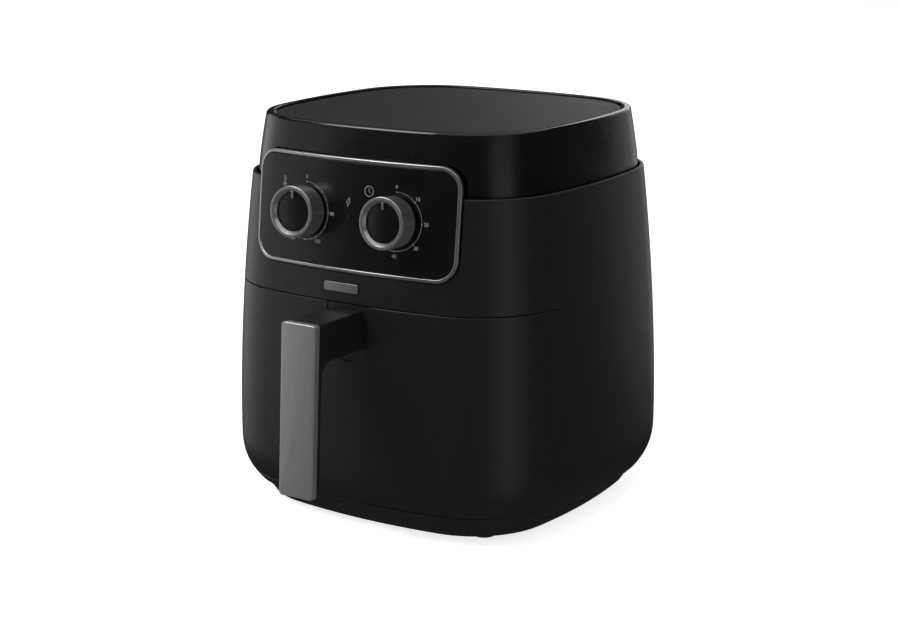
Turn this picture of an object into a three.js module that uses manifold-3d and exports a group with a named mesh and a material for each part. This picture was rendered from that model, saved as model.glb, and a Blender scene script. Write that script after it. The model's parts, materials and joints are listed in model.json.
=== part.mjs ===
// Drawer air fryer with two rotary controls: a bowed rounded-square housing, a pull-out drawer with a
// crisper tray, a hot-air chamber with heater and fan above it, and a control bay behind the front panel.
// Millimetres, +Z up, front towards -Y. The origin is the centre of the footprint of the whole appliance.
import * as THREE from "three";
import { mergeVertices } from "three/addons/utils/BufferGeometryUtils.js";
import Module from "manifold-3d";

const wasm = await Module();
wasm.setup();

// ---------------------------------------------------------------- driving dimensions

const FOOT_HEIGHT = 3; // the base ring stands this far off the worktop
const HEIGHT = 335; // base ring to top rim
const HALF_WIDTH = 161.5; // at the widest level
const DEPTH_RATIO = 0.974; // half-depth over half-width
const BOW_RATIO = 3.67; // radius of a bowed side over the half-width
const CORNER = 79; // plan radius of the four corners
const LIP_Z = 14.5; // lower edge of the matte housing
const WIDEST_Z = 58;
const SEAM_Z = 285; // joint between matte housing and gloss band
const LIP_TUCK = 12.5; // how far the housing draws in from the widest level to the lip
const SHOULDER_TUCK = 11.9; // and from the widest level up to the seam
const BAND_HALF_WIDTH = 145.5; // gloss band at the seam
const BAND_TUCK = 6; // band draws in to the rim
const WALL = 3;
const GAP = 0.3; // between pieces that touch
const SEAM_GAP = 0.6; // shadow gap round the drawer

const DRAWER_BOTTOM = 23;
const DRAWER_TOP = 192.5;
const DRAWER_BACK = -70; // the drawer front wraps round the sides to here
const DRAWER_TOP_CORNER = 8;
const DRAWER_BOTTOM_CORNER = 22;

const PANEL_WIDTH = 200;
const PANEL_HEIGHT = 92.5;
const PANEL_CORNER = 19;
const PANEL_Z = 264.3; // centre height
const PANEL_HALF_WIDTH = 153.4; // of the bowed surface that the panel lies on, at its centre height
const PANEL_SLOPE = 0.089; // the panel leans back by this much per millimetre of height
const BEZEL_LINE = 3.2; // visible width of the silver frame
const BEZEL_DEPTH = 9;
const DIAL_X = 44.6;
const DIAL_Z = 263.8;

const CHAMBER_Y = -13; // centre of pan, heater and fan
const PAN_HALF_WIDTH = 119;
const PAN_HALF_DEPTH = 125;
const PAN_FLOOR_Z = 30;
const PAN_RIM_Z = 176;
const PAN_CORNER = 35;
const PAN_WALL = 1.6;
const TRAY_Z = 44; // underside of the crisper tray

const HANDLE_TOP = 189.5;
const HANDLE_BOTTOM = 47;
const HANDLE_WIDTH = 33.4;
const HANDLE_FRONT = 218; // reach of the grip's face at HANDLE_FACE_Z
const HANDLE_FACE_Z = 184;
const HANDLE_SLOPE = 0.0593; // the grip swings outwards by this much per millimetre downwards
const PLATE_THICKNESS = 6.5;
const PLATE_CORNER = 3.2;
const PLATE_BEVEL = 0.8;
const GRIP_THICKNESS = 5.5;

const FRONT_REACH = HANDLE_FRONT + (HANDLE_FACE_Z - HANDLE_BOTTOM) * HANDLE_SLOPE;
const REAR_REACH = 166; // end of the cord gland
const BODY_Y = (FRONT_REACH - REAR_REACH) / 2; // centre of the housing in the appliance's own frame

// ---------------------------------------------------------------- finishes

const FINISHES = {
  matteBlack: [0x1d1d1e, 0.55, 0],
  glossBlack: [0x0a0a0b, 0.12, 0],
  coverGrey: [0x2b2b2c, 0.5, 0],
  baseBlack: [0x141415, 0.6, 0],
  satinSilver: [0x8e8f91, 0.35, 0.9],
  handleSilver: [0x7d7e80, 0.38, 0.85],
  rubber: [0x101010, 0.85, 0],
  nonstick: [0x232323, 0.45, 0.2],
  sheetSteel: [0xb3b5b8, 0.35, 1],
  aluminium: [0xc4c6c8, 0.4, 1],
  element: [0x4a4744, 0.5, 0.8],
  copper: [0xb0703a, 0.4, 1],
  brass: [0xc8a24a, 0.3, 1],
  amberLens: [0xd8792a, 0.15, 0],
  whitePlastic: [0xd8d6cf, 0.55, 0],
};

const appliance = new THREE.Group();
appliance.position.set(0, BODY_Y, FOOT_HEIGHT);

// ---------------------------------------------------------------- solids

// A closed manifold-3d solid from a three.js geometry, with its faces turned outwards.
function solid(geometry) {
  const bare = new THREE.BufferGeometry();
  const source = geometry.index ? geometry.toNonIndexed() : geometry;
  bare.setAttribute("position", source.getAttribute("position").clone());
  const merged = mergeVertices(bare, 1e-4);
  const triangles = [];
  for (let i = 0; i < merged.index.count; i += 3) {
    const [a, b, c] = [0, 1, 2].map((k) => merged.index.getX(i + k));
    if (a !== b && b !== c && c !== a) triangles.push(a, b, c);
  }
  const make = (triVerts) =>
    new wasm.Manifold(
      new wasm.Mesh({
        numProp: 3,
        vertProperties: new Float32Array(merged.attributes.position.array),
        triVerts: new Uint32Array(triVerts),
      }),
    );
  const made = make(triangles);
  if (made.volume() > 0) return made;
  for (let i = 0; i < triangles.length; i += 3) {
    [triangles[i], triangles[i + 1]] = [triangles[i + 1], triangles[i]];
  }
  return make(triangles);
}

function geometryOf(body) {
  const mesh = body.getMesh();
  const geometry = new THREE.BufferGeometry();
  geometry.setAttribute("position", new THREE.BufferAttribute(mesh.vertProperties, 3));
  geometry.setIndex(new THREE.BufferAttribute(mesh.triVerts, 1));
  return geometry;
}

// Adds a named piece of the appliance and returns its mesh.
function piece(name, body, finish, parent = appliance) {
  const [color, roughness, metalness] = FINISHES[finish];
  const material = new THREE.MeshStandardMaterial({ color, roughness, metalness, flatShading: true });
  const mesh = new THREE.Mesh(geometryOf(body), material);
  mesh.name = name;
  parent.add(mesh);
  return mesh;
}

const join = (first, ...others) => others.reduce((sum, next) => sum.add(next), first);
const cut = (first, ...tools) => tools.reduce((rest, tool) => rest.subtract(tool), first);

// A box between two corners.
function block([x0, y0, z0], [x1, y1, z1]) {
  const box = new THREE.BoxGeometry(x1 - x0, y1 - y0, z1 - z0);
  return solid(box.translate((x0 + x1) / 2, (y0 + y1) / 2, (z0 + z1) / 2));
}

// A rectangle centred on (x, y) with one radius for its upper corners and one for its lower corners.
function roundedRect(width, height, radius, [x, y] = [0, 0], lowerRadius = radius) {
  const [w, h] = [width / 2, height / 2];
  const shape = new THREE.Shape();
  shape.absarc(x + w - radius, y + h - radius, radius, 0, Math.PI / 2);
  shape.absarc(x - w + radius, y + h - radius, radius, Math.PI / 2, Math.PI);
  shape.absarc(x - w + lowerRadius, y - h + lowerRadius, lowerRadius, Math.PI, 1.5 * Math.PI);
  shape.absarc(x + w - lowerRadius, y - h + lowerRadius, lowerRadius, 1.5 * Math.PI, 2 * Math.PI);
  shape.closePath();
  return shape;
}

// A shape drawn in (x, z) swept from y0 to y1.
function sweptY(shape, y0, y1, curveSegments = 3) {
  const swept = new THREE.ExtrudeGeometry(shape, { depth: y1 - y0, bevelEnabled: false, curveSegments });
  return solid(swept.rotateX(Math.PI / 2).translate(0, y1, 0));
}

// A shape drawn in (y, z) swept from x0 to x1.
function sweptX(shape, x0, x1, curveSegments = 3) {
  const swept = new THREE.ExtrudeGeometry(shape, { depth: x1 - x0, bevelEnabled: false, curveSegments });
  return solid(swept.rotateY(Math.PI / 2).rotateX(Math.PI / 2).translate(x0, 0, 0));
}

// A shape drawn in (x, y) swept from z0 to z1.
function sweptZ(shape, z0, z1, curveSegments = 3) {
  const swept = new THREE.ExtrudeGeometry(shape, { depth: z1 - z0, bevelEnabled: false, curveSegments });
  return solid(swept.translate(0, 0, z0));
}

// A turned solid. The profile is a list of [radius, height], closed on itself or ending on the axis.
function turned(profile, segments = 24) {
  const points = profile.map(([r, h]) => new THREE.Vector2(r, h));
  return new THREE.LatheGeometry(points, segments);
}
const closed = (profile) => [...profile, profile[0]];

// Turned about a vertical axis through (x, y).
function turnedZ(profile, [x, y] = [0, 0], segments = 24) {
  return solid(turned(profile, segments).rotateX(Math.PI / 2).translate(x, y, 0));
}

// A straight rod along Y, and one along Z.
function rodY(radius, [x, y0, z], y1, segments = 16) {
  const rod = new THREE.CylinderGeometry(radius, radius, y1 - y0, segments);
  return solid(rod.translate(x, (y0 + y1) / 2, z));
}
function rodZ(radius, [x, y, z0], z1, segments = 24) {
  const rod = new THREE.CylinderGeometry(radius, radius, z1 - z0, segments);
  return solid(rod.rotateX(Math.PI / 2).translate(x, y, (z0 + z1) / 2));
}

// A round tube along a smooth curve through the points.
function tube(points, radius, steps, sides) {
  const path = new THREE.CatmullRomCurve3(points.map((p) => new THREE.Vector3(...p)), false, "centripetal");
  const section = new THREE.Shape();
  section.absarc(0, 0, radius, 0, 2 * Math.PI);
  const options = { steps, extrudePath: path, curveSegments: sides };
  return solid(new THREE.ExtrudeGeometry(section, options));
}

// ---------------------------------------------------------------- the housing's outline

const SIDE_STEPS = 2; // along half of a bowed side
const CORNER_STEPS = 5;

// The plan outline, counter-clockwise from +X: four bowed sides and four corners, all tangent.
// An inset keeps the arcs' centres and takes the same amount off every radius.
function outline(halfWidth, inset = 0, cornerRadius = CORNER) {
  const halfDepth = DEPTH_RATIO * halfWidth;
  const bow = BOW_RATIO * halfWidth;
  const side = [halfWidth - bow, 0];
  const front = [0, halfDepth - bow];
  const reach = bow - cornerRadius;
  const span = Math.hypot(side[0], front[1]);
  const rise = Math.sqrt(reach ** 2 - (span / 2) ** 2);
  const corner = [side[0] / 2 - (front[1] / span) * rise, front[1] / 2 - (side[0] / span) * rise];
  const start = Math.atan2(corner[1], corner[0] - side[0]);
  const end = Math.atan2(corner[1] - front[1], corner[0]);
  const arc = ([x, y], radius, from, to, steps) =>
    Array.from({ length: steps }, (_, i) => {
      const angle = from + ((to - from) * i) / steps;
      return [x + radius * Math.cos(angle), y + radius * Math.sin(angle)];
    });
  const quarter = [
    ...arc(side, bow - inset, 0, start, SIDE_STEPS),
    ...arc(corner, cornerRadius - inset, start, end, CORNER_STEPS),
    ...arc(front, bow - inset, end, Math.PI / 2, SIDE_STEPS),
    [0, halfDepth - inset],
  ];
  const forwards = quarter.slice(0, -1);
  const backwards = quarter.slice(1).reverse();
  return [
    ...forwards,
    ...backwards.map(([x, y]) => [-x, y]),
    ...forwards.map(([x, y]) => [-x, -y]),
    ...backwards.map(([x, y]) => [x, -y]),
  ];
}

const lowerHalfWidth = (z) =>
  z < WIDEST_Z
    ? HALF_WIDTH - LIP_TUCK * Math.min(1, (WIDEST_Z - z) / (WIDEST_Z - LIP_Z)) ** 2.8
    : HALF_WIDTH - SHOULDER_TUCK * ((z - WIDEST_Z) / (SEAM_Z - WIDEST_Z)) ** 1.85;
const bandHalfWidth = (z) =>
  BAND_HALF_WIDTH - BAND_TUCK * (Math.max(0, z - SEAM_Z) / (HEIGHT - SEAM_Z)) ** 1.3;
const panelHalfWidth = (z) => PANEL_HALF_WIDTH - PANEL_SLOPE * (z - PANEL_Z);
const frontY = (halfWidth) => -DEPTH_RATIO * halfWidth;

// A solid through stacked outlines of the same number of points, each [z, points].
function loft(sections) {
  const count = sections[0][1].length;
  const positions = sections.flatMap(([z, points]) => points.flatMap(([x, y]) => [x, y, z]));
  const index = [];
  for (let level = 0; level + 1 < sections.length; level += 1) {
    for (let i = 0; i < count; i += 1) {
      const [a, b] = [level * count + i, level * count + ((i + 1) % count)];
      index.push(a, b, b + count, a, b + count, a + count);
    }
  }
  const top = (sections.length - 1) * count;
  const cap = (points) =>
    THREE.ShapeUtils.triangulateShape(points.map(([x, y]) => new THREE.Vector2(x, y)), []);
  for (const [a, b, c] of cap(sections[0][1])) index.push(c, b, a);
  for (const [a, b, c] of cap(sections.at(-1)[1])) index.push(top + a, top + b, top + c);
  const geometry = new THREE.BufferGeometry();
  geometry.setAttribute("position", new THREE.Float32BufferAttribute(positions, 3));
  return solid(geometry.setIndex(index));
}
const bowedLoft = (levels, halfWidthAt, inset = 0) =>
  loft(levels.map((z) => [z, outline(halfWidthAt(z), inset)]));

const INNER_LEVELS = [2, 16, 24, 36, 58, 130, 200, 290];
const housingInside = (inset) => bowedLoft(INNER_LEVELS, lowerHalfWidth, inset);

const lowerOuter = loft([
  ...[LIP_Z, 18, 24, 33, 45, 58, 110, 160, 216, 250, SEAM_Z - 1.2].map((z) => [
    z,
    outline(lowerHalfWidth(z), z === LIP_Z ? 1 : 0),
  ]),
  [SEAM_Z - 0.4, outline(lowerHalfWidth(SEAM_Z), 0.4)],
  [SEAM_Z, outline(lowerHalfWidth(SEAM_Z), 1.4)],
]);
const lowerShell = lowerOuter.subtract(housingInside(WALL));

// The drawer front's volume, seen from the side, shrunk by a gap.
function drawerVolume(gap) {
  const [bottom, top, back] = [DRAWER_BOTTOM + gap, DRAWER_TOP - gap, DRAWER_BACK - gap];
  const [lower, upper] = [DRAWER_BOTTOM_CORNER - gap, DRAWER_TOP_CORNER - gap];
  const shape = new THREE.Shape();
  shape.moveTo(-HANDLE_FRONT, bottom);
  shape.lineTo(back - lower, bottom);
  shape.absarc(back - lower, bottom + lower, lower, -Math.PI / 2, 0);
  shape.absarc(back - upper, top - upper, upper, 0, Math.PI / 2);
  shape.lineTo(-HANDLE_FRONT, top);
  shape.closePath();
  return sweptX(shape, -HALF_WIDTH - 5, HALF_WIDTH + 5);
}

// ---------------------------------------------------------------- housing shells

const VENT_WIDTH = 100;
const VENT_HEIGHT = 40;
const VENT_Z = 218;
const GLAND = [70, 45]; // x and z of the cord gland in the rear wall
const GLAND_HOLE = 7.5;

function housing() {
  const panelHole = (z0, z1) =>
    sweptY(
      roundedRect(PANEL_WIDTH + 2 * GAP, PANEL_HEIGHT + 2 * GAP, PANEL_CORNER, [0, PANEL_Z]),
      -200,
      -90,
    ).intersect(block([-200, -200, z0], [200, 0, z1]));
  const ventHole = sweptY(roundedRect(VENT_WIDTH, VENT_HEIGHT, 6, [0, VENT_Z]), 100, 200);
  const glandHole = rodY(GLAND_HOLE + GAP, [GLAND[0], 100, GLAND[1]], 200, 20);
  const lower = cut(lowerShell, drawerVolume(0), panelHole(200, 290), ventHole, glandHole);
  piece("lower_housing", lower, "matteBlack");

  const RIM = 6; // width of the top rim
  const COVER_SEAT_Z = 330;
  const bandOuter = loft([
    ...[277, SEAM_Z, 302, 319, HEIGHT - 1.4].map((z) => [z, outline(bandHalfWidth(z))]),
    [HEIGHT - 0.4, outline(bandHalfWidth(HEIGHT), 0.5)],
    [HEIGHT, outline(bandHalfWidth(HEIGHT), 1.5)],
  ]);
  const band = cut(
    bandOuter,
    bowedLoft([270, SEAM_Z, 300, 315, COVER_SEAT_Z - 2], bandHalfWidth, WALL),
    bowedLoft([COVER_SEAT_Z, HEIGHT + 1], () => bandHalfWidth(HEIGHT), RIM),
    bowedLoft([320, 332], () => bandHalfWidth(HEIGHT), 14),
    panelHole(270, 340),
  );
  piece("upper_housing", band, "glossBlack");

  const COVER_INSET = RIM + 2.5;
  const cover = loft([
    [COVER_SEAT_Z + GAP, outline(bandHalfWidth(HEIGHT), COVER_INSET)],
    [HEIGHT - 2.1, outline(bandHalfWidth(HEIGHT), COVER_INSET)],
    [HEIGHT - 1.5, outline(bandHalfWidth(HEIGHT), COVER_INSET + 0.8)],
  ]);
  piece("top_cover", cover, "coverGrey");
}

// ---------------------------------------------------------------- base, feet and rear fittings

const FOOT_PLACES = {
  front_left: [-98, -98],
  front_right: [98, -98],
  rear_left: [-98, 98],
  rear_right: [98, 98],
};

function base() {
  const FLOOR = 2.5;
  const RING_TOP = 146.2; // half-width of the ring under the housing's lip
  const RING_FOOT = 137.5; // and at its foot, where the corners are squarer
  const FOOT_CORNER = 71;
  const SPIGOT = 145.4; // rises inside the housing's lip
  const outer = loft([
    [0, outline(RING_FOOT, 1, FOOT_CORNER)],
    [1, outline(RING_FOOT, 0, FOOT_CORNER)],
    [LIP_Z - GAP, outline(RING_TOP)],
  ]);
  const hollow = loft([
    [FLOOR, outline(RING_FOOT, 2.5, FOOT_CORNER)],
    [LIP_Z, outline(RING_TOP, 2.5)],
  ]);
  const flange = cut(
    bowedLoft([12.8, 17], () => SPIGOT),
    bowedLoft([12, 18], () => SPIGOT, 4.3),
  );
  const slots = [-50, -30, -10, 10, 30, 50].map((x) => block([x - 2.5, -10, -1], [x + 2.5, 50, 5]));
  const stemHoles = Object.values(FOOT_PLACES).map(([x, y]) => rodZ(3.4, [x, y, -1], 6, 12));
  const plate = cut(join(cut(outer, hollow), flange), ...slots, ...stemHoles);
  piece("base_plate", plate, "baseBlack");

  for (const [place, [x, y]] of Object.entries(FOOT_PLACES)) {
    const foot = [[0, -3], [9.6, -3], [11, -1.6], [11, -GAP], [3, -GAP], [3, 6], [0, 6]];
    piece(`foot_${place}`, turnedZ(foot, [x, y], 16), "rubber");
  }
}

function rearFittings() {
  const rear = (inset) => bowedLoft([190, 220, 250], lowerHalfWidth, inset);
  const frame = sweptY(roundedRect(VENT_WIDTH - 2 * GAP, VENT_HEIGHT - 2 * GAP, 6, [0, VENT_Z]), 100, 200);
  const flange = sweptY(roundedRect(VENT_WIDTH + 8, VENT_HEIGHT + 8, 9, [0, VENT_Z]), 100, 200);
  const plug = cut(rear(-1), rear(4)).intersect(frame);
  const rim = cut(rear(-2), rear(-GAP)).intersect(flange);
  const SLATS = 6;
  const slots = Array.from({ length: SLATS }, (_, i) => {
    const z = VENT_Z + (i - (SLATS - 1) / 2) * 5.8;
    return block([7 - VENT_WIDTH / 2, 100, z - 1.6], [VENT_WIDTH / 2 - 7, 200, z + 1.6]);
  });
  piece("rear_vent_grille", cut(join(plug, rim), ...slots), "baseBlack");

  // The gland is a stepped rubber bush: a flange outside, a groove for the wall and a through bore.
  const wallY = DEPTH_RATIO * lowerHalfWidth(GLAND[1]) - 4.6;
  const bush = closed([
    [3.7, -9.6], [9.5, -9.6], [9.5, -5.6], [GLAND_HOLE, -5.6], [GLAND_HOLE, 5.2], [10.5, 5.2],
    [9.6, REAR_REACH - wallY - 3], [6.8, REAR_REACH - wallY], [3.7, REAR_REACH - wallY],
  ]);
  const gland = turned(bush, 16).translate(GLAND[0], wallY, GLAND[1]);
  piece("cord_gland", solid(gland), "rubber");
}

// ---------------------------------------------------------------- control panel and dials

const PANEL_LEAN = Math.atan(DEPTH_RATIO * PANEL_SLOPE);
const DIAL_FACE_Y = frontY(panelHalfWidth(DIAL_Z)) + 0.6; // face of the fascia at the dials
const LENS_Z = 264;

// A group whose +Y points out of the panel along the dial's axis, with its origin on the fascia.
// bowBack is how far the bowed fascia falls back at the dial from its middle.
function dialGroup(x) {
  const bow = BOW_RATIO * PANEL_HALF_WIDTH;
  const bowBack = bow - Math.sqrt(bow ** 2 - x ** 2);
  const group = new THREE.Group();
  group.position.set(x, DIAL_FACE_Y + bowBack, DIAL_Z);
  group.rotation.x = Math.PI - PANEL_LEAN;
  appliance.add(group);
  return group;
}

const dials = { temperature: dialGroup(-DIAL_X), timer: dialGroup(DIAL_X) };

// A rod along a dial's axis, in the appliance's frame, from one distance along the axis to another.
function dialRod(name, radius, from, to, segments = 16) {
  const rod = new THREE.CylinderGeometry(radius, radius, to - from, segments);
  rod.translate(0, (from + to) / 2, 0);
  dials[name].updateMatrix();
  return solid(rod.applyMatrix4(dials[name].matrix));
}

function controlPanel() {
  const surface = (proud) => bowedLoft([205, 265, 325], (z) => panelHalfWidth(z) + proud);
  const shape = (margin) =>
    roundedRect(PANEL_WIDTH - 2 * margin, PANEL_HEIGHT - 2 * margin, PANEL_CORNER - margin, [0, PANEL_Z]);
  const front = (margin) => sweptY(shape(margin), -200, -90, 4);
  const bezel = cut(surface(0), surface(-BEZEL_DEPTH)).intersect(cut(front(0), front(BEZEL_LINE)));
  piece("panel_bezel", bezel, "satinSilver");

  const lensHole = rodY(2.5 + GAP, [0, -200, LENS_Z], -100, 12);
  const fascia = cut(
    cut(surface(-0.6), surface(-3.6)).intersect(front(BEZEL_LINE + GAP)),
    dialRod("temperature", 4, -30, 30),
    dialRod("timer", 4, -30, 30),
    lensHole,
  );
  piece("control_panel", fascia, "glossBlack");
  const lens = rodY(2.5, [0, DIAL_FACE_Y - 0.4, LENS_Z], DIAL_FACE_Y + 6, 12);
  piece("indicator_lens", lens, "amberLens");

  const BADGE = { x: -6, z: 205, width: 34, height: 7.5 };
  const badgeFront = sweptY(roundedRect(BADGE.width, BADGE.height, 1.6, [BADGE.x, BADGE.z]), -200, -100);
  const badgeSkin = cut(
    bowedLoft([195, 215], lowerHalfWidth, -1.1),
    bowedLoft([190, 220], lowerHalfWidth, -GAP),
  );
  piece("badge_plate", badgeSkin.intersect(badgeFront), "satinSilver");
}

const KNOB_LENGTH = 20.4;

function knob(name) {
  const group = dials[name];
  const ring = closed([
    [18.8, 1], [20.6, 1], [21.2, KNOB_LENGTH - 0.8], [20.5, KNOB_LENGTH], [18.2, KNOB_LENGTH],
    [16, KNOB_LENGTH - 2.4], [16, 9.4], [18.8, 9.4],
  ]);
  const pointer = block([-0.9, KNOB_LENGTH - 2.6, -17], [0.9, KNOB_LENGTH - 1.2, -11]);
  piece(`${name}_knob`, join(solid(turned(ring, 36)), pointer), "satinSilver", group);
  const cap = [
    [0, KNOB_LENGTH - 3.4], [8, KNOB_LENGTH - 3.3], [15.7, KNOB_LENGTH - 2.9], [15.7, 9.1], [18.5, 9.1],
    [18.5, 7], [6, 7], [6, 1.2], [3.3, 1.2], [3.3, 10], [0, 10],
  ];
  piece(`${name}_knob_cap`, solid(turned(cap, 24)), "glossBlack", group);
  const shaft = [[0, -20], [3, -20], [3, 9.7], [0, 9.7]];
  piece(`${name}_shaft`, solid(turned(shaft, 16)), "brass", group);
}

const BRACKET_Y = -20; // depth of the switch bracket's face behind the fascia, along the dial axes

// Steel bracket across both dials; the two controls hang on its back.
function switchBracket() {
  const lean = new THREE.Group();
  lean.position.set(0, DIAL_FACE_Y - BRACKET_Y + 2, DIAL_Z);
  lean.rotation.x = Math.PI - PANEL_LEAN;
  lean.updateMatrix();
  const plate = new THREE.BoxGeometry(150, 2, 50).applyMatrix4(lean.matrix);
  return cut(solid(plate), dialRod("temperature", 5.5, -60, 0), dialRod("timer", 5.5, -60, 0));
}

function controls() {
  knob("temperature");
  knob("timer");

  piece("switch_bracket", switchBracket(), "sheetSteel");

  const bodyFront = BRACKET_Y - 5.2;
  const bore = [[3.3, bodyFront + 3], [3.3, bodyFront - 1]];
  const thermostat = closed([
    ...bore, [0, bodyFront - 1], [0, bodyFront - 21], [17, bodyFront - 21], [17, bodyFront], [5, bodyFront],
    [5, bodyFront + 3],
  ]);
  piece("thermostat", solid(turned(thermostat, 20)), "whitePlastic", dials.temperature);

  const timerBox = solid(new THREE.BoxGeometry(42, 24, 42).translate(0, bodyFront - 12, 0));
  const timerNeck = solid(turned(closed([[3.3, bodyFront - 2], [5, bodyFront - 2], [5, bodyFront + 3],
    [3.3, bodyFront + 3]]), 16));
  const timerBore = solid(new THREE.CylinderGeometry(3.3, 3.3, 4, 16).translate(0, bodyFront, 0));
  piece("timer_movement", join(cut(timerBox, timerBore), timerNeck), "sheetSteel", dials.timer);
  const bellBack = bodyFront - 24 - GAP;
  const bell = [[0, bellBack], [17, bellBack], [19, bellBack - 6], [18, bellBack - 6], [16, bellBack - 1.2],
    [0, bellBack - 1.2]];
  piece("timer_bell", solid(turned(bell, 20)), "brass", dials.timer);

  const capillary = [
    [-DIAL_X, -90, 254], [-DIAL_X - 4, -86, 250], [-62, -87, 245], [-82, -84, 237], [-95, -72, 222],
    [-105, -52, 206], [-110, -30, 201], [-111, 0, 200],
  ];
  piece("thermostat_capillary", tube(capillary, 1.5, 16, 3), "copper");
}

// ---------------------------------------------------------------- cooking chamber

const CEILING_Z = 193.2;
const LINER_X = 127.5;
const LINER_BACK = 122;
const LINER_CORNER = 47;

function chamber() {
  const BULKHEAD = [DRAWER_BACK + 2, DRAWER_BACK + 4.5];
  const inside = housingInside(WALL + GAP);
  const wall = block([-200, BULKHEAD[0], 17.5], [200, BULKHEAD[1], CEILING_Z - GAP]).intersect(inside);
  const shelf = block([-200, -200, 18.5], [200, BULKHEAD[0] + 1, 21.5]).intersect(inside);
  const passage = block([-LINER_X + 1, -90, 27], [LINER_X - 1, 0, 187]);
  const plungerHole = rodY(2.5, [SWITCH_X, -90, SWITCH_Z], 0, 12);
  piece("drawer_bay_frame", cut(join(wall, shelf), passage, plungerHole), "baseBlack");

  const SHEET = 1.4;
  const linerFront = BULKHEAD[1] + GAP;
  const lined = (wall, z0, z1) => {
    const plan = roundedRect(2 * LINER_X + 2 * wall, 2 * LINER_BACK + 2 * wall, LINER_CORNER + wall);
    return sweptZ(plan, z0, z1, 4);
  };
  const liner = cut(
    lined(SHEET, 24, CEILING_Z - GAP),
    lined(0, 24 + SHEET, CEILING_Z + 5),
    block([-200, -200, 0], [200, linerFront, 300]),
  );
  piece("chamber_liner", liner, "sheetSteel");

  const ceiling = cut(
    block([-LINER_X - SHEET, -150, CEILING_Z], [LINER_X + SHEET, LINER_BACK + SHEET, CEILING_Z + SHEET])
      .intersect(housingInside(WALL + 1)),
    rodZ(98, [0, CHAMBER_Y, 190], 200, 30),
  );
  piece("ceiling_plate", ceiling, "sheetSteel");

  for (const [name, side] of [["left", -1], ["right", 1]]) {
    const [a, b] = [side * 120.6, side * (LINER_X - GAP)].sort((p, q) => p - q);
    const rail = block([a, linerFront, 169.5], [b, LINER_BACK - LINER_CORNER, PAN_RIM_Z - 2]);
    piece(`drawer_rail_${name}`, rail, "aluminium");
  }
}

const SWITCH_X = 138;
const SWITCH_Z = 180;

function interlock() {
  const body = block([SWITCH_X - 5, -64.8, SWITCH_Z - 8], [SWITCH_X + 5, -45, SWITCH_Z + 10]);
  const bore = rodY(2.3, [SWITCH_X, -66, SWITCH_Z], -56, 12);
  piece("interlock_switch", cut(body, bore), "baseBlack");
  piece("interlock_plunger", rodY(2, [SWITCH_X, -71.7, SWITCH_Z], -59.5, 12), "whitePlastic");
}

const SHROUD_Z = CEILING_Z + 1.4 + GAP; // underside of the heater shroud's flange
const SHROUD_R = 98;
const SHROUD_TOP = SHROUD_Z + 42;
const centre = [0, CHAMBER_Y];

function heater() {
  const shell = turnedZ(closed([
    [SHROUD_R, SHROUD_Z], [SHROUD_R + 6, SHROUD_Z], [SHROUD_R + 6, SHROUD_Z + 1.5],
    [SHROUD_R + 1.5, SHROUD_Z + 1.5], [SHROUD_R + 1.5, SHROUD_TOP - 8], [SHROUD_R - 8, SHROUD_TOP],
    [5, SHROUD_TOP], [5, SHROUD_TOP - 1.5], [SHROUD_R - 9, SHROUD_TOP - 1.5], [SHROUD_R, SHROUD_TOP - 9],
  ]), centre, 30);
  const DUCT = { halfWidth: 42, low: 205, high: 229 };
  const exhaust = block([-DUCT.halfWidth, 40, DUCT.low], [DUCT.halfWidth, 120, DUCT.high]);
  const leadHoles = [-8, 8].map((x) => rodZ(5, [x + 60, CHAMBER_Y + 18, 220], 250, 12));
  piece("heater_shroud", cut(shell, exhaust, ...leadHoles), "aluminium");

  const ductFront = CHAMBER_Y + SHROUD_R + 3;
  const ductBack = DEPTH_RATIO * lowerHalfWidth(VENT_Z) - 9;
  const duct = cut(
    block([-DUCT.halfWidth - 2, ductFront, DUCT.low - 2], [DUCT.halfWidth + 2, ductBack, DUCT.high + 2]),
    block([-DUCT.halfWidth, 0, DUCT.low], [DUCT.halfWidth, 200, DUCT.high]),
  );
  piece("exhaust_duct", duct, "aluminium");

  // Guard: a ring, two inner hoops and six spokes of flat strip.
  const hoop = (radius, width) => {
    const section = closed([[radius - width, SHROUD_Z + 2], [radius, SHROUD_Z + 2], [radius, SHROUD_Z + 4.5],
      [radius - width, SHROUD_Z + 4.5]]);
    return turnedZ(section, centre, 24);
  };
  const spoke = (i) => {
    const bar = new THREE.BoxGeometry(2.4, SHROUD_R - 4, 2.5).translate(0, (SHROUD_R - 4) / 2 + 1, 0);
    return solid(bar.rotateZ((i * Math.PI) / 3).translate(0, CHAMBER_Y, SHROUD_Z + 3.25));
  };
  const hub = rodZ(9, [...centre, SHROUD_Z + 2], SHROUD_Z + 4.5, 18);
  const guard = join(hub, hoop(SHROUD_R - 1.4, 3), hoop(56, 2.4), ...[0, 1, 2, 3, 4, 5].map(spoke));
  piece("element_guard", guard, "sheetSteel");

  // Element: two turns of sheathed tube, closing in from the outer turn, with both ends turned up.
  const ELEMENT_Z = SHROUD_Z + 13;
  const TURNS = 1.9;
  const STEPS = 30;
  const spiral = Array.from({ length: STEPS + 1 }, (_, i) => {
    const angle = 0.3 + (TURNS * 2 * Math.PI * i) / STEPS;
    const radius = 88 - (24 * i) / STEPS;
    return [radius * Math.cos(angle), CHAMBER_Y + radius * Math.sin(angle), ELEMENT_Z];
  });
  piece("heating_element", tube(spiral, 3.2, 40, 4), "element");
}

const MOTOR_Z = 266;

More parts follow.
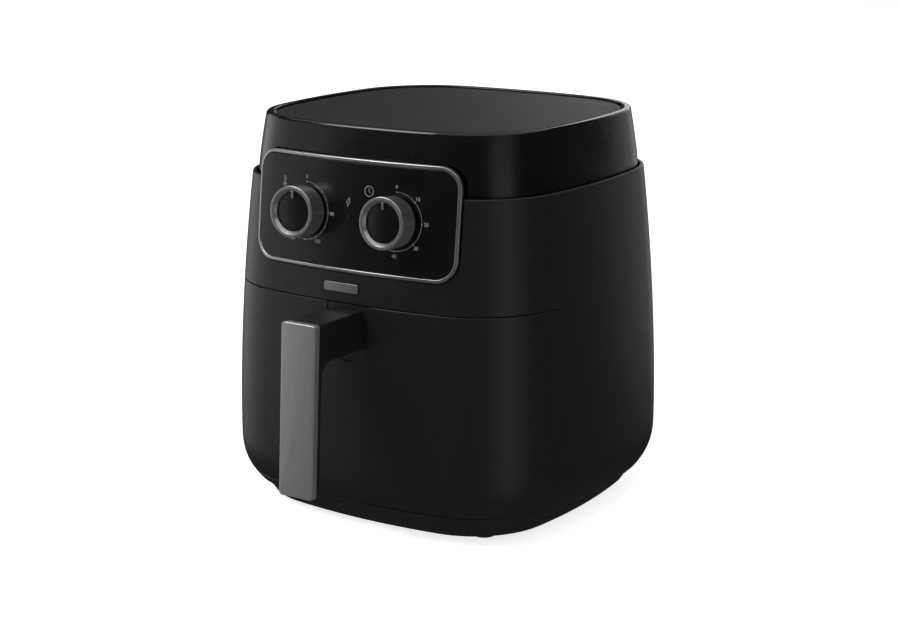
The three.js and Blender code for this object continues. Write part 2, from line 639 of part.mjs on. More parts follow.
function fanSet() {
  const blades = (count, inner, outer, z0, z1, sweep) =>
    Array.from({ length: count }, (_, i) => {
      const blade = new THREE.BoxGeometry(1.4, outer - inner, z1 - z0);
      blade.rotateZ(sweep).translate(0, (inner + outer) / 2, (z0 + z1) / 2);
      return solid(blade.rotateZ((i * 2 * Math.PI) / count).translate(0, CHAMBER_Y, 0));
    });
  const hot = [SHROUD_Z + 20, SHROUD_Z + 34];
  const hotDisc = rodZ(66, [...centre, hot[1] - 1.4], hot[1], 32);
  const hotHub = rodZ(9, [...centre, hot[0]], hot[1], 18);
  const hotBore = rodZ(3.3, [...centre, 200], 260, 14);
  const hotFan = cut(join(hotDisc, hotHub, ...blades(10, 24, 65, hot[0], hot[1] - 1, 0.5)), hotBore);
  piece("convection_fan", hotFan, "aluminium");

  const cool = [MOTOR_Z - 20, MOTOR_Z - 10];
  const coolHub = rodZ(10, [...centre, cool[0]], cool[1], 18);
  const coolDisc = rodZ(42, [...centre, cool[0]], cool[0] + 1.2, 28);
  const coolFan = cut(join(coolDisc, coolHub, ...blades(8, 14, 41, cool[0] + 1, cool[1], 0.4)), hotBore);
  piece("cooling_fan", coolFan, "baseBlack");

  piece("motor_shaft", rodZ(3, [...centre, hot[0] - 3], MOTOR_Z + 36, 14), "sheetSteel");
  const core = rodZ(12, [...centre, MOTOR_Z + 1], MOTOR_Z + 25, 20);
  piece("motor_rotor", cut(core, rodZ(3.3, [...centre, 200], 400, 14)), "sheetSteel");

  const stack = sweptZ(roundedRect(62, 54, 5, centre), MOTOR_Z + 2, MOTOR_Z + 24, 3);
  const stator = cut(stack, rodZ(13, [...centre, 200], 400, 24));
  piece("motor_stator", stator, "sheetSteel");
  const coil = cut(
    block([33, CHAMBER_Y - 20, MOTOR_Z - 2], [45, CHAMBER_Y + 20, MOTOR_Z + 28]),
    block([32, CHAMBER_Y - 9, MOTOR_Z + 1.7], [46, CHAMBER_Y + 9, MOTOR_Z + 24.3]),
  );
  piece("motor_coil", coil, "copper");
  const leg = (x) =>
    block([x - 1, CHAMBER_Y - 22, SHROUD_TOP + GAP], [x + 1, CHAMBER_Y + 22, MOTOR_Z - 5.5]);
  const bridge = block([-58, CHAMBER_Y - 22, MOTOR_Z - 7], [58, CHAMBER_Y + 22, MOTOR_Z - 5]);
  const bracket = cut(
    join(bridge, leg(-52), leg(52)),
    rodZ(6, [...centre, 200], 400, 16),
  );
  piece("motor_bracket", bracket, "sheetSteel");
}

function electrical() {
  piece("thermal_cutout", rodZ(7, [-62, CHAMBER_Y + 34, SHROUD_TOP + GAP], SHROUD_TOP + 8, 16), "baseBlack");
  piece("terminal_block", block([58, 134, 90], [86, 145, 104]), "whitePlastic");
}

// ---------------------------------------------------------------- drawer

const faceY = (z) => -(HANDLE_FRONT + (HANDLE_FACE_Z - z) * HANDLE_SLOPE);
const SOCKET_R = 20.3; // of the round-bottomed recess that the handle's neck grows out of
const SOCKET_Z = 165;
const SOCKET_DEPTH = 0.8;
const HANDLE_SCREWS = [-8, 8];
const HANDLE_SCREW_Z = 172;

function drawerFront() {
  const shape = new THREE.Shape();
  shape.absarc(0, SOCKET_Z, SOCKET_R, Math.PI, 2 * Math.PI);
  shape.lineTo(SOCKET_R, DRAWER_TOP + 2);
  shape.lineTo(-SOCKET_R, DRAWER_TOP + 2);
  const skin = cut(
    bowedLoft([130, 160, 200], lowerHalfWidth, -5),
    bowedLoft([129, 160, 201], lowerHalfWidth, SOCKET_DEPTH),
  );
  const socket = sweptY(shape, -200, -100, 12).intersect(skin);
  const holes = HANDLE_SCREWS.map((x) => rodY(2.4, [x, -200, HANDLE_SCREW_Z], -100, 12));
  piece("drawer_front", cut(lowerShell.intersect(drawerVolume(SEAM_GAP)), socket, ...holes), "matteBlack");

  const cheek = [DRAWER_BACK - 4.5, DRAWER_BACK - 2];
  const sheet = block([-200, cheek[0], 25.5], [200, cheek[1], DRAWER_TOP - 2]);
  const frame = sheet.intersect(housingInside(WALL + GAP));
  const opening = block([-PAN_HALF_WIDTH - 2.5, -90, 28], [PAN_HALF_WIDTH + 2.5, -60, 168]);
  const rimOpening = block([-PAN_HALF_WIDTH - 7, -90, 167], [PAN_HALF_WIDTH + 7, -60, 220]);
  piece("drawer_back_frame", cut(frame, opening, rimOpening), "baseBlack");
}

// A rounded-rectangle ring of points for the pan and tray, inset from the pan's outer wall.
function panOutline(inset) {
  const radius = Math.max(4, PAN_CORNER - inset);
  const shape = roundedRect(2 * (PAN_HALF_WIDTH - inset), 2 * (PAN_HALF_DEPTH - inset), radius, centre);
  return shape.getPoints(3).slice(0, -1).map((p) => [p.x, p.y]);
}

function pan() {
  const outer = loft([
    [PAN_FLOOR_Z, panOutline(9)], [PAN_FLOOR_Z + 2.5, panOutline(4)], [PAN_FLOOR_Z + 8, panOutline(1)],
    [PAN_FLOOR_Z + 40, panOutline(0)], [PAN_RIM_Z - 1.7, panOutline(0)],
  ]);
  const rim = loft([[PAN_RIM_Z - 1.7, panOutline(-5)], [PAN_RIM_Z, panOutline(-5)]]);
  const hollow = loft([
    [PAN_FLOOR_Z + PAN_WALL, panOutline(9.5)], [PAN_FLOOR_Z + 4, panOutline(5.4)],
    [PAN_FLOOR_Z + 9, panOutline(2.7)], [PAN_FLOOR_Z + 40, panOutline(PAN_WALL)],
    [PAN_RIM_Z + 1, panOutline(PAN_WALL)],
  ]);
  piece("drawer_pan", cut(join(outer, rim), hollow), "nonstick");

  const TRAY_INSET = 7;
  const LIP = 6;
  const column = (z0, z1, inset) => loft([[z0, panOutline(inset)], [z1, panOutline(inset)]]);
  const disc = column(TRAY_Z, TRAY_Z + LIP, TRAY_INSET);
  const dish = column(TRAY_Z + 2, TRAY_Z + LIP + 1, TRAY_INSET + 2);
  const ROWS = 7;
  const COLUMNS = 5;
  const slots = [];
  for (let row = 0; row < ROWS; row += 1) {
    for (let column = 0; column < COLUMNS; column += 1) {
      const x = (column - (COLUMNS - 1) / 2) * 38;
      const y = CHAMBER_Y + (row - (ROWS - 1) / 2) * 30;
      const isCentre = column === (COLUMNS - 1) / 2 && row === (ROWS - 1) / 2;
      if (!isCentre) slots.push(block([x - 14, y - 3, TRAY_Z - 1], [x + 14, y + 3, TRAY_Z + 3]));
    }
  }
  const grip = rodZ(13, [...centre, TRAY_Z - 1], TRAY_Z + 3, 24);
  piece("crisper_tray", cut(cut(disc, dish), grip, ...slots), "nonstick");

  const bumperX = PAN_HALF_WIDTH - TRAY_INSET;
  const bumperY = PAN_HALF_DEPTH - TRAY_INSET;
  const bumpers = {
    left: [-bumperX - 2.1, CHAMBER_Y], right: [bumperX + 2.1, CHAMBER_Y],
    front: [0, CHAMBER_Y - bumperY - 2.1], rear: [0, CHAMBER_Y + bumperY + 2.1],
  };
  for (const [place, [x, y]] of Object.entries(bumpers)) {
    const [halfX, halfY] = Math.abs(x) > 1 ? [1.8, 11] : [11, 1.8];
    const bumper = block([x - halfX, y - halfY, TRAY_Z - 4], [x + halfX, y + halfY, TRAY_Z + LIP - 0.5]);
    piece(`tray_bumper_${place}`, bumper, "rubber");
  }
}

function handle() {
  const backY = faceY(HANDLE_FACE_Z) + PLATE_THICKNESS + GAP; // plate's back, at HANDLE_FACE_Z
  const back = (z, extra) => faceY(z) + PLATE_THICKNESS + GAP + extra;
  const [top, bottom] = [HANDLE_TOP - 1.2, HANDLE_BOTTOM + 1.5];
  const NECK_BOTTOM = 156;
  const FILLET = 15;
  const grip = new THREE.Shape();
  grip.moveTo(back(top, 0), top);
  grip.lineTo(back(bottom, 0), bottom);
  grip.lineTo(back(bottom, GRIP_THICKNESS), bottom);
  grip.lineTo(back(NECK_BOTTOM - FILLET, GRIP_THICKNESS), NECK_BOTTOM - FILLET);
  grip.quadraticCurveTo(
    back(NECK_BOTTOM, GRIP_THICKNESS), NECK_BOTTOM,
    back(NECK_BOTTOM, GRIP_THICKNESS + FILLET), NECK_BOTTOM,
  );
  grip.lineTo(back(NECK_BOTTOM, GRIP_THICKNESS + FILLET), top);
  const halfWidth = HANDLE_WIDTH / 2 - 0.9;
  const gripOutline = sweptY(
    roundedRect(2 * halfWidth, top - bottom, PLATE_CORNER, [0, (top + bottom) / 2]), -260, -100,
  );
  const gripSolid = sweptX(grip, -halfWidth, halfWidth).intersect(gripOutline);
  const neckShape = roundedRect(2 * halfWidth, top - NECK_BOTTOM, 3.5, [0, (top + NECK_BOTTOM) / 2], 9);
  const socketFace = bowedLoft([130, 160, 200], lowerHalfWidth, SOCKET_DEPTH - GAP);
  const neck = sweptY(neckShape, backY + 4, -140).subtract(socketFace);
  const holes = HANDLE_SCREWS.map((x) => rodY(2.3, [x, -168, HANDLE_SCREW_Z], -100, 12));
  piece("handle_frame", cut(join(gripSolid, neck), ...holes), "matteBlack");

  // The face plate is drawn flat, then stood up along the leaning grip.
  const bevels = 2 * PLATE_BEVEL;
  const face = roundedRect(
    HANDLE_WIDTH - bevels, HANDLE_TOP - HANDLE_BOTTOM - bevels, PLATE_CORNER - PLATE_BEVEL,
  );
  const plate = new THREE.ExtrudeGeometry(face, {
    depth: PLATE_THICKNESS - bevels,
    bevelThickness: PLATE_BEVEL,
    bevelSize: PLATE_BEVEL,
    bevelSegments: 2,
    curveSegments: 3,
  });
  plate.translate(0, 0, PLATE_BEVEL - PLATE_THICKNESS);
  plate.rotateX(Math.PI / 2 - Math.atan(HANDLE_SLOPE));
  const middle = (HANDLE_TOP + HANDLE_BOTTOM) / 2;
  piece("handle_plate", solid(plate.translate(0, faceY(middle), middle)), "handleSilver");

  const bracket = cut(
    join(
      block([-28, -148.8, 156], [28, -146.8, 188]),
      ...[-24, 24].map((x) => block([x - 4, -147, 158], [x + 4, -PAN_HALF_DEPTH + CHAMBER_Y - GAP, 172])),
    ),
    ...HANDLE_SCREWS.map((x) => rodY(2.4, [x, -160, HANDLE_SCREW_Z], -140, 12)),
  );
  piece("handle_bracket", bracket, "sheetSteel");
  for (const [name, x] of [["left", HANDLE_SCREWS[0]], ["right", HANDLE_SCREWS[1]]]) {
    const screw = [[0, 0], [4, 0], [4, -2.4], [2, -2.4], [2, -22], [0, -23]];
    const turnedScrew = turned(screw, 12).translate(x, -144.1, HANDLE_SCREW_Z);
    piece(`handle_screw_${name}`, solid(turnedScrew), "sheetSteel");
  }
}

// ---------------------------------------------------------------- assembly

housing();
base();
rearFittings();
controlPanel();
controls();
chamber();
interlock();
heater();
fanSet();
electrical();
drawerFront();
pan();
handle();

export default appliance;
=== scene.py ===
"""Looks for the drawer air fryer: smooth shells, dials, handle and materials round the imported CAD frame.

Shapes are worked out in millimetres in the housing's own frame, where the housing's centre is x = y = 0 and
its base ring stands at z = 0. place() turns them into metres in the model's frame.
"""

import json
import math

import bmesh
import bpy
import numpy as np
from mathutils import Matrix, Vector
from mathutils.geometry import delaunay_2d_cdt


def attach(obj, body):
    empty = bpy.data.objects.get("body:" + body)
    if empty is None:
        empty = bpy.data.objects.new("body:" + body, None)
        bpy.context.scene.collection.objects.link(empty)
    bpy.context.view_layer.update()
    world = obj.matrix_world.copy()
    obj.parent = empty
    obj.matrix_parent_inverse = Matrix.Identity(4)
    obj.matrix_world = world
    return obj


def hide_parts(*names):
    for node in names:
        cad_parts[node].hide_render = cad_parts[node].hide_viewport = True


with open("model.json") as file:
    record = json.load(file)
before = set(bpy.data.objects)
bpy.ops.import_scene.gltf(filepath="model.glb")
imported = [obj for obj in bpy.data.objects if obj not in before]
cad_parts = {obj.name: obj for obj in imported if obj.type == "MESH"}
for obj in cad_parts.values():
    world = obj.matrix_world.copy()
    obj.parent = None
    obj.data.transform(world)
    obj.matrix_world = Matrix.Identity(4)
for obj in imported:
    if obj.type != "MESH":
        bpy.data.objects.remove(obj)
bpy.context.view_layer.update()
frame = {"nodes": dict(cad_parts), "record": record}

# ---- dimensions shared with the CAD source, mm

FOOT_HEIGHT = 3.0
HEIGHT = 335.0
HALF_WIDTH = 161.5
DEPTH_RATIO = 0.974
BOW_RATIO = 3.67
CORNER = 79.0
LIP_Z = 14.5
RING_TOP = 146.2
RING_FOOT = 137.5
FOOT_CORNER = 71.0
SPIGOT_HALF_WIDTH = 145.4
FOOT_XY = 98
WIDEST_Z = 58.0
SEAM_Z = 285.0
LIP_TUCK = 12.5
SHOULDER_TUCK = 11.9
BAND_HALF_WIDTH = 145.5
BAND_TUCK = 6.0
WALL = 3.0
GAP = 0.3
SEAM_GAP = 0.6
SIDE_SEAM_GAP = 0.3
BAND_FOOT_Z = 277.0
CROWN_RADIUS = 1.6
GROOVE = 6.0  # inset of the rim's inner edge
COVER_INSET = 8.5

DRAWER_BOTTOM = 23.0
DRAWER_TOP = 192.5
DRAWER_BACK = -70.0
DRAWER_TOP_CORNER = 8.0
DRAWER_BOTTOM_CORNER = 22.0
SOCKET_R = 20.3
SOCKET_Z = 165.0
SOCKET_DEPTH = 0.8

PANEL_WIDTH = 200.0
PANEL_HEIGHT = 92.5
PANEL_CORNER = 19.0
PANEL_Z = 264.3
PANEL_HALF_WIDTH = 153.4
PANEL_SLOPE = 0.089
BEZEL_LINE = 3.2
BEZEL_DEPTH = 9.0
FASCIA_DEPTH = 0.6
DIAL_X = 44.6
DIAL_Z = 263.8
DIAL_TURN = 270  # degrees
LENS_Z = 264.0
KNOB_LENGTH = 20.4
DISC_RADIUS = 15.4

HANDLE_TOP = 189.5
HANDLE_BOTTOM = 47.0
HANDLE_WIDTH = 33.4
HANDLE_FRONT = 218.0
HANDLE_FACE_Z = 184.0
HANDLE_SLOPE = 0.0593
PLATE_THICKNESS = 6.5
PLATE_CORNER = 3.2
GRIP_THICKNESS = 5.5
NECK_BOTTOM = 156.0

CHAMBER_Y = -13.0
PAN_HALF_WIDTH = 119.0
PAN_HALF_DEPTH = 125.0
PAN_FLOOR_Z = 30.0
PAN_RIM_Z = 176.0
PAN_CORNER = 35.0
TRAY_Z = 44.0

REAR_REACH = 166.0
FRONT_REACH = HANDLE_FRONT + (HANDLE_FACE_Z - HANDLE_BOTTOM) * HANDLE_SLOPE
BODY_Y = (FRONT_REACH - REAR_REACH) / 2

PANEL_LEAN = math.atan(DEPTH_RATIO * PANEL_SLOPE)


def place(points):
    """Housing millimetres to model metres."""
    return (np.asarray(points, dtype=float) + [0.0, BODY_Y, FOOT_HEIGHT]) / 1000.0


# ---- bowed surfaces


def corner_arc(half_width, radius=CORNER):
    """Centre of the plan corner and the outward angles where it meets the side and the front."""
    side = half_width * (1 - BOW_RATIO)
    front = half_width * (DEPTH_RATIO - BOW_RATIO)
    span = np.hypot(side, front)
    rise = np.sqrt((BOW_RATIO * half_width - radius) ** 2 - (span / 2) ** 2)
    x = side / 2 - front / span * rise
    y = front / 2 - side / span * rise
    return x, y, np.arctan2(y, x - side), np.arctan2(y - front, x)


MIDDLING = 157.0
_, _, ARC_START, ARC_END = corner_arc(MIDDLING)
BOW = BOW_RATIO * MIDDLING
SIDE_LENGTH = BOW * ARC_START
CORNER_LENGTH = CORNER * (ARC_END - ARC_START)
FRONT_LENGTH = BOW * (math.pi / 2 - ARC_END)
QUARTER = SIDE_LENGTH + CORNER_LENGTH + FRONT_LENGTH


class Bowed:
    """A bowed surface whose plan half-width depends on the height.

    A point on it is (s, z): s runs counter-clockwise in plan from the middle of the +X side, in millimetres
    along the outline of half-width MIDDLING, and one QUARTER of s covers one quarter of every outline.
    """

    def __init__(self, half_width, corner_radius=lambda z: CORNER):
        self.half_width = half_width
        self.corner_radius = corner_radius

    def base(self, s, z):
        half_width = self.half_width(z)
        corner = self.corner_radius(z)
        corner_x, corner_y, start, end = corner_arc(half_width, corner)
        bow = BOW_RATIO * half_width
        quarter = np.floor(s / QUARTER)
        along = s - quarter * QUARTER
        quarter = quarter.astype(int) % 4
        along = np.where(quarter % 2 == 1, QUARTER - along, along)
        on_side = along < SIDE_LENGTH
        on_front = along > SIDE_LENGTH + CORNER_LENGTH
        side_angle = start * along / SIDE_LENGTH
        corner_angle = start + (end - start) * (along - SIDE_LENGTH) / CORNER_LENGTH
        front_angle = end + (math.pi / 2 - end) * (along - SIDE_LENGTH - CORNER_LENGTH) / FRONT_LENGTH
        angle = np.where(on_side, side_angle, np.where(on_front, front_angle, corner_angle))
        radius = np.where(on_side | on_front, bow, corner)
        centre_x = np.where(on_side, half_width - bow, np.where(on_front, 0.0, corner_x))
        centre_y = np.where(on_side, 0.0, np.where(on_front, DEPTH_RATIO * half_width - bow, corner_y))
        sign_x = np.where((quarter == 1) | (quarter == 2), -1.0, 1.0)
        sign_y = np.where(quarter >= 2, -1.0, 1.0)
        x = sign_x * (centre_x + radius * np.cos(angle))
        y = sign_y * (centre_y + radius * np.sin(angle))
        return np.stack([x, y, z + np.zeros_like(s)], axis=-1)

    def tangents(self, s, z):
        """Unit vectors along s and up the surface."""
        step = 0.05
        along = self.base(s + step, z) - self.base(s - step, z)
        up = self.base(s, z + step) - self.base(s, z - step)
        return unit(along), unit(up)

    def normal(self, s, z):
        along, up = self.tangents(s, z)
        return unit(np.cross(along, up))

    def point(self, s, z, depth=0.0):
        """The point below (s, z) at a depth measured along the normal."""
        s, z = np.broadcast_arrays(np.asarray(s, float), np.asarray(z, float))
        depth = np.asarray(depth, float)
        return self.base(s, z) - self.normal(s, z) * depth[..., None]

    def locate(self, side, value, z):
        """s where x (front, rear) or y (left, right) has a value at height z."""
        low, high, axis, rising = {
            "front": (2 * QUARTER, 4 * QUARTER, 0, True),
            "rear": (4 * QUARTER, 6 * QUARTER, 0, False),
            "right": (3 * QUARTER, 5 * QUARTER, 1, True),
            "left": (1 * QUARTER, 3 * QUARTER, 1, False),
        }[side]
        value, z = np.broadcast_arrays(np.asarray(value, float), np.asarray(z, float))
        low = np.full(value.shape, float(low))
        high = np.full(value.shape, float(high))
        for _ in range(40):
            middle = (low + high) / 2
            reached = self.base(middle, z)[..., axis]
            past = reached > value if rising else reached < value
            high = np.where(past, middle, high)
            low = np.where(past, low, middle)
        return (low + high) / 2


def unit(vectors):
    return vectors / np.linalg.norm(vectors, axis=-1, keepdims=True)


def lower_half_width(z):
    below = np.clip((WIDEST_Z - z) / (WIDEST_Z - LIP_Z), 0, 1) ** 2.8
    above = np.clip((z - WIDEST_Z) / (SEAM_Z - WIDEST_Z), 0, None) ** 1.85
    return HALF_WIDTH - LIP_TUCK * below - SHOULDER_TUCK * above


def band_half_width(z):
    return BAND_HALF_WIDTH - BAND_TUCK * np.clip((z - SEAM_Z) / (HEIGHT - SEAM_Z), 0, None) ** 1.3


def panel_half_width(z):
    return PANEL_HALF_WIDTH - PANEL_SLOPE * (z - PANEL_Z)


def base_rise(z):
    """0 at the base ring's foot, 1 under the housing's lip."""
    return (z - 1.0) / (LIP_Z - GAP - 1.0)


LOWER = Bowed(lower_half_width)
BAND = Bowed(band_half_width)
PANEL = Bowed(panel_half_width)
RIM = Bowed(lambda z: band_half_width(HEIGHT) + 0 * z)
BASE = Bowed(
    lambda z: RING_FOOT + (RING_TOP - RING_FOOT) * base_rise(z),
    lambda z: FOOT_CORNER + (CORNER - FOOT_CORNER) * base_rise(z),
)
SPIGOT = Bowed(lambda z: SPIGOT_HALF_WIDTH + 0 * z)


def around():
    """s values right round the outline, closer together in the corners."""
    ends = np.cumsum([0, SIDE_LENGTH, CORNER_LENGTH, FRONT_LENGTH])
    spans = zip(ends, ends[1:], (8, 26, 9))
    quarter = np.concatenate([np.linspace(start, end, steps, endpoint=False) for start, end, steps in spans])
    mirrored = QUARTER - quarter[::-1]
    half = np.concatenate([quarter, QUARTER + mirrored - mirrored[0]])
    return np.concatenate([half, half + 2 * QUARTER])


# ---- meshes


class Draft:
    """Faces with a normal for every corner, gathered before they become one mesh."""

    def __init__(self):
        self.points = []
        self.faces = []
        self.normals = []
        self.count = 0

    def add(self, points, faces, normals):
        """normals has one vector per point."""
        for face in faces:
            self.faces.append([self.count + i for i in face])
            self.normals.extend(normals[i] for i in face)
        self.points.append(np.asarray(points))
        self.count += len(points)

    def finish(self, name):
        points = place(np.concatenate(self.points))
        keys, first, back = np.unique(np.round(points, 8), axis=0, return_index=True, return_inverse=True)
        back = back.ravel()
        faces, normals, corner = [], [], 0
        for face in self.faces:
            welded = [int(back[i]) for i in face]
            corners = self.normals[corner : corner + len(face)]
            corner += len(face)
            kept = [i for i in range(len(welded)) if welded[i] != welded[i - 1]]
            if len(kept) > 2:
                faces.append([welded[i] for i in kept])
                normals.extend(corners[i] for i in kept)
        mesh = bpy.data.meshes.new(name)
        mesh.from_pydata(points[first].tolist(), [], faces)
        mesh.polygons.foreach_set("use_smooth", [True] * len(mesh.polygons))
        mesh.normals_split_custom_set([tuple(n) for n in normals])
        return add_object(name, mesh)


def add_object(name, data):
    """An object in the scene for a mesh, a light or a camera. A bmesh is turned into a mesh first."""
    if isinstance(data, bmesh.types.BMesh):
        build, data = data, bpy.data.meshes.new(name)
        build.to_mesh(data)
        build.free()
    obj = bpy.data.objects.new(name, data)
    bpy.context.scene.collection.objects.link(obj)
    return obj


def polygon_inside(points, loops):
    """Even-odd test of points against closed loops together."""
    inside = np.zeros(len(points), bool)
    x, y = points[:, 0], points[:, 1]
    for loop in loops:
        ax, ay = loop[:, 0], loop[:, 1]
        bx, by = np.roll(ax, -1), np.roll(ay, -1)
        for i in range(len(loop)):
            if ay[i] == by[i]:
                continue
            crosses = (ay[i] > y) != (by[i] > y)
            reach = (bx[i] - ax[i]) * (y - ay[i]) / (by[i] - ay[i]) + ax[i]
            inside ^= crosses & (x < reach)
    return inside


SHARPEST = 0.35  # limits how far an offset runs out at a sharp corner


class Chain:
    """An edge of a shell in (s, z), with the shell on its left, rounded over by a radius."""

    def __init__(self, points, closed=True, radius=0.5):
        points = np.asarray(points, float)
        self.points = points
        self.closed = closed
        self.radius = radius
        if closed:
            before, after = points - np.roll(points, 1, axis=0), np.roll(points, -1, axis=0) - points
        else:
            steps = points[1:] - points[:-1]
            before = np.concatenate([steps[:1], steps])
            after = np.concatenate([steps, steps[-1:]])
        before, after = unit(before), unit(after)
        left = np.stack([-before[:, 1] - after[:, 1], before[:, 0] + after[:, 0]], axis=-1) / 2
        self.left = left / np.maximum(np.sum(left**2, axis=-1, keepdims=True), SHARPEST)

    def offset(self, distance):
        return self.points + self.left * distance


EDGE_STEPS = 4  # faces over a rounded edge
CLEAR_OF_EDGE = 1.1  # grid points keep this far from a chain


def fence_in(chains, z_levels):
    """The chains' inner edges as points with their owners, segments, and closed loops.

    Two open chains are joined by ladders, so that together they bound one area.
    """
    inner = [chain.offset(chain.radius) for chain in chains]
    coords, edges, owners, loops = [], [], [], []

    def add(points, labels):
        start = len(coords)
        coords.extend(map(tuple, points))
        owners.extend(labels)
        edges.extend((k, k + 1) for k in range(start, len(coords) - 1))
        return start

    for i, ring in enumerate(inner):
        start = add(ring, [(i, k) for k in range(len(ring))])
        if chains[i].closed:
            edges.append((len(coords) - 1, start))
            loops.append(ring)
    open_rings = [ring for ring, chain in zip(inner, chains) if not chain.closed]
    if open_rings:
        low, high = open_rings
        loops.append(np.concatenate([low, high]))
        for (s, foot), (_, head) in ((low[0], high[-1]), (low[-1], high[0])):
            rungs = [z for z in z_levels if foot + 0.5 < z < head - 0.5]
            ladder = [(s, z) for z in (foot, *rungs, head)]
            add(ladder, [None] * len(ladder))
    return coords, edges, owners, loops


def flat_mesh(chains, s_levels, z_levels):
    """Triangles in (s, z) inside the chains, and the same points moved out to the chains' own edges."""
    coords, edges, owners, loops = fence_in(chains, z_levels)
    fence = np.array(coords)
    grid = np.array([(s, z) for z in z_levels for s in s_levels])
    grid = grid[polygon_inside(grid, loops)]
    nearest = np.array([np.min(np.sum((fence - g) ** 2, axis=1)) for g in grid])
    grid = grid[nearest > CLEAR_OF_EDGE**2]
    coords.extend(map(tuple, grid))
    owners.extend([None] * len(grid))

    flat, _, triangles, origins, _, _ = delaunay_2d_cdt([Vector(c) for c in coords], edges, [], 0, 1e-5)
    flat = np.array([tuple(v) for v in flat])
    triangles = np.array(triangles)
    triangles = triangles[polygon_inside(flat[triangles].mean(axis=1), loops)]
    used = np.unique(triangles)
    renumber = np.full(len(flat), -1)
    renumber[used] = np.arange(len(used))

    flat = flat[used]
    widened = flat.copy()
    for k, point in enumerate(used):
        on_chain = [owners[i] for i in origins[point] if owners[i] is not None]
        if on_chain:
            chain, index = on_chain[0]
            widened[k] = chains[chain].points[index]
    return flat, widened, renumber[triangles].tolist()


def rounded_edge(out, surface, chain, top_depth, thickness):
    """Faces from the shell's underside over a chain's rounded edge."""
    turns = [k / EDGE_STEPS * math.pi / 2 for k in range(EDGE_STEPS + 1)]
    rows = [(0.0, thickness), *quarter_round(chain.radius, EDGE_STEPS, first=0)]
    left = unit(chain.left)
    points, normals = [], []
    for (distance, depth), turn in zip(rows, (0.0, *turns)):
        s, z = chain.offset(distance).T
        along, up = surface.tangents(s, z)
        outward = -unit(along * left[:, :1] + up * left[:, 1:])
        points.append(surface.point(s, z, top_depth + depth))
        normals.append(unit(surface.normal(s, z) * math.sin(turn) + outward * math.cos(turn)))
    count = len(chain.points)
    faces = []
    for row in range(len(rows) - 1):
        for k in range(count if chain.closed else count - 1):
            a, b = row * count + k, row * count + (k + 1) % count
            faces.append((a, b, b + count, a + count))
    out.add(np.concatenate(points), faces, np.concatenate(normals))


def shell(name, surface, chains, thickness, s_levels, z_levels, top_depth=0.0, draft=None):
    """A shell of one thickness on a bowed surface, trimmed by chains whose edges are rounded.

    Open chains run right round the surface: the first is the lower edge, the second the upper one.
    With a draft, the shell is added to it, and the caller finishes it.
    """
    flat, widened, triangles = flat_mesh(chains, s_levels, z_levels)
    out = draft or Draft()
    out.add(surface.point(*flat.T, top_depth), triangles, surface.normal(*flat.T))
    under = surface.point(*widened.T, top_depth + thickness)
    out.add(under, [t[::-1] for t in triangles], -surface.normal(*widened.T))
    for chain in chains:
        rounded_edge(out, surface, chain, top_depth, thickness)
    return out if draft else out.finish(name)


def circle(centre, radius, steps, turn=360):
    return arc(centre, radius, 0, turn, steps)[:-1]


def level(s, z):
    """Points (s, z) at one height."""
    return np.column_stack([s, np.full(len(s), z)])


def quarter_round(radius, steps, first=1):
    """(inset, drop) pairs over a rounded edge, from its side to its top."""
    turns = [k / steps * math.pi / 2 for k in range(first, steps + 1)]
    return [(radius * (1 - math.cos(turn)), radius * (1 - math.sin(turn))) for turn in turns]


def bend(start, corner, end, steps):
    """Points of a parabola that leaves start and reaches end along lines through the corner."""
    t = np.linspace(0, 1, steps + 1)[:, None]
    points = (1 - t) ** 2 * np.array(start) + 2 * t * (1 - t) * np.array(corner) + t * t * np.array(end)
    return [tuple(point) for point in points]


def arc(centre, radius, start, end, steps):
    """Points of an arc in a plane, angles in degrees, both ends included."""
    angles = np.radians(np.linspace(start, end, steps + 1))
    return np.stack([centre[0] + radius * np.cos(angles), centre[1] + radius * np.sin(angles)], axis=-1)


def spaced(start, end, step):
    """Evenly spaced values from start up to but without end, about a step apart."""
    count = max(1, int(math.ceil(abs(end - start) / step)))
    return np.linspace(start, end, count, endpoint=False)


def rounded_rect(width, height, radius, centre=(0, 0), steps=10, spacing=6.0):
    """Counter-clockwise points of a rounded rectangle, dense enough to lie on a curved surface."""
    w, h = width / 2 - radius, height / 2 - radius
    parts = []
    for (sx, sy), start in (((1, 1), 0), ((-1, 1), 90), ((-1, -1), 180), ((1, -1), 270)):
        parts.append(arc((centre[0] + sx * w, centre[1] + sy * h), radius, start, start + 90, steps))
    loop = []
    for i, part in enumerate(parts):
        following = parts[(i + 1) % 4][0]
        loop.append(part[:-1])
        gaps = spaced(0, 1, spacing / max(np.linalg.norm(following - part[-1]), 1e-6))
        loop.append(part[-1] + gaps[:, None] * (following - part[-1]))
    return np.concatenate(loop)


def sweep(name, rows, closed=False):
    """Rings of points joined in order: capped at both ends, or with the last ring joined to the first."""
    mesh = bpy.data.meshes.new(name)
    count = len(rows[0])
    points = place(np.concatenate(rows))
    faces = []
    last = len(rows) if closed else len(rows) - 1
    for row in range(last):
        after = (row + 1) % len(rows)
        for k in range(count):
            beside = (k + 1) % count
            faces.append((row * count + k, row * count + beside, after * count + beside, after * count + k))
    if not closed:
        faces.append(tuple(range(count))[::-1])
        faces.append(tuple((len(rows) - 1) * count + k for k in range(count)))
    mesh.from_pydata(points.tolist(), [], faces)
    return shade(add_object(name, mesh))


def shade(obj, angle=32):
    """Outward faces, smooth shading with sharp edges above an angle."""
    build = bmesh.new()
    build.from_mesh(obj.data)
    bmesh.ops.recalc_face_normals(build, faces=build.faces)
    build.to_mesh(obj.data)
    build.free()
    obj.data.shade_smooth()
    obj.data.set_sharp_from_angle(angle=math.radians(angle))
    return obj


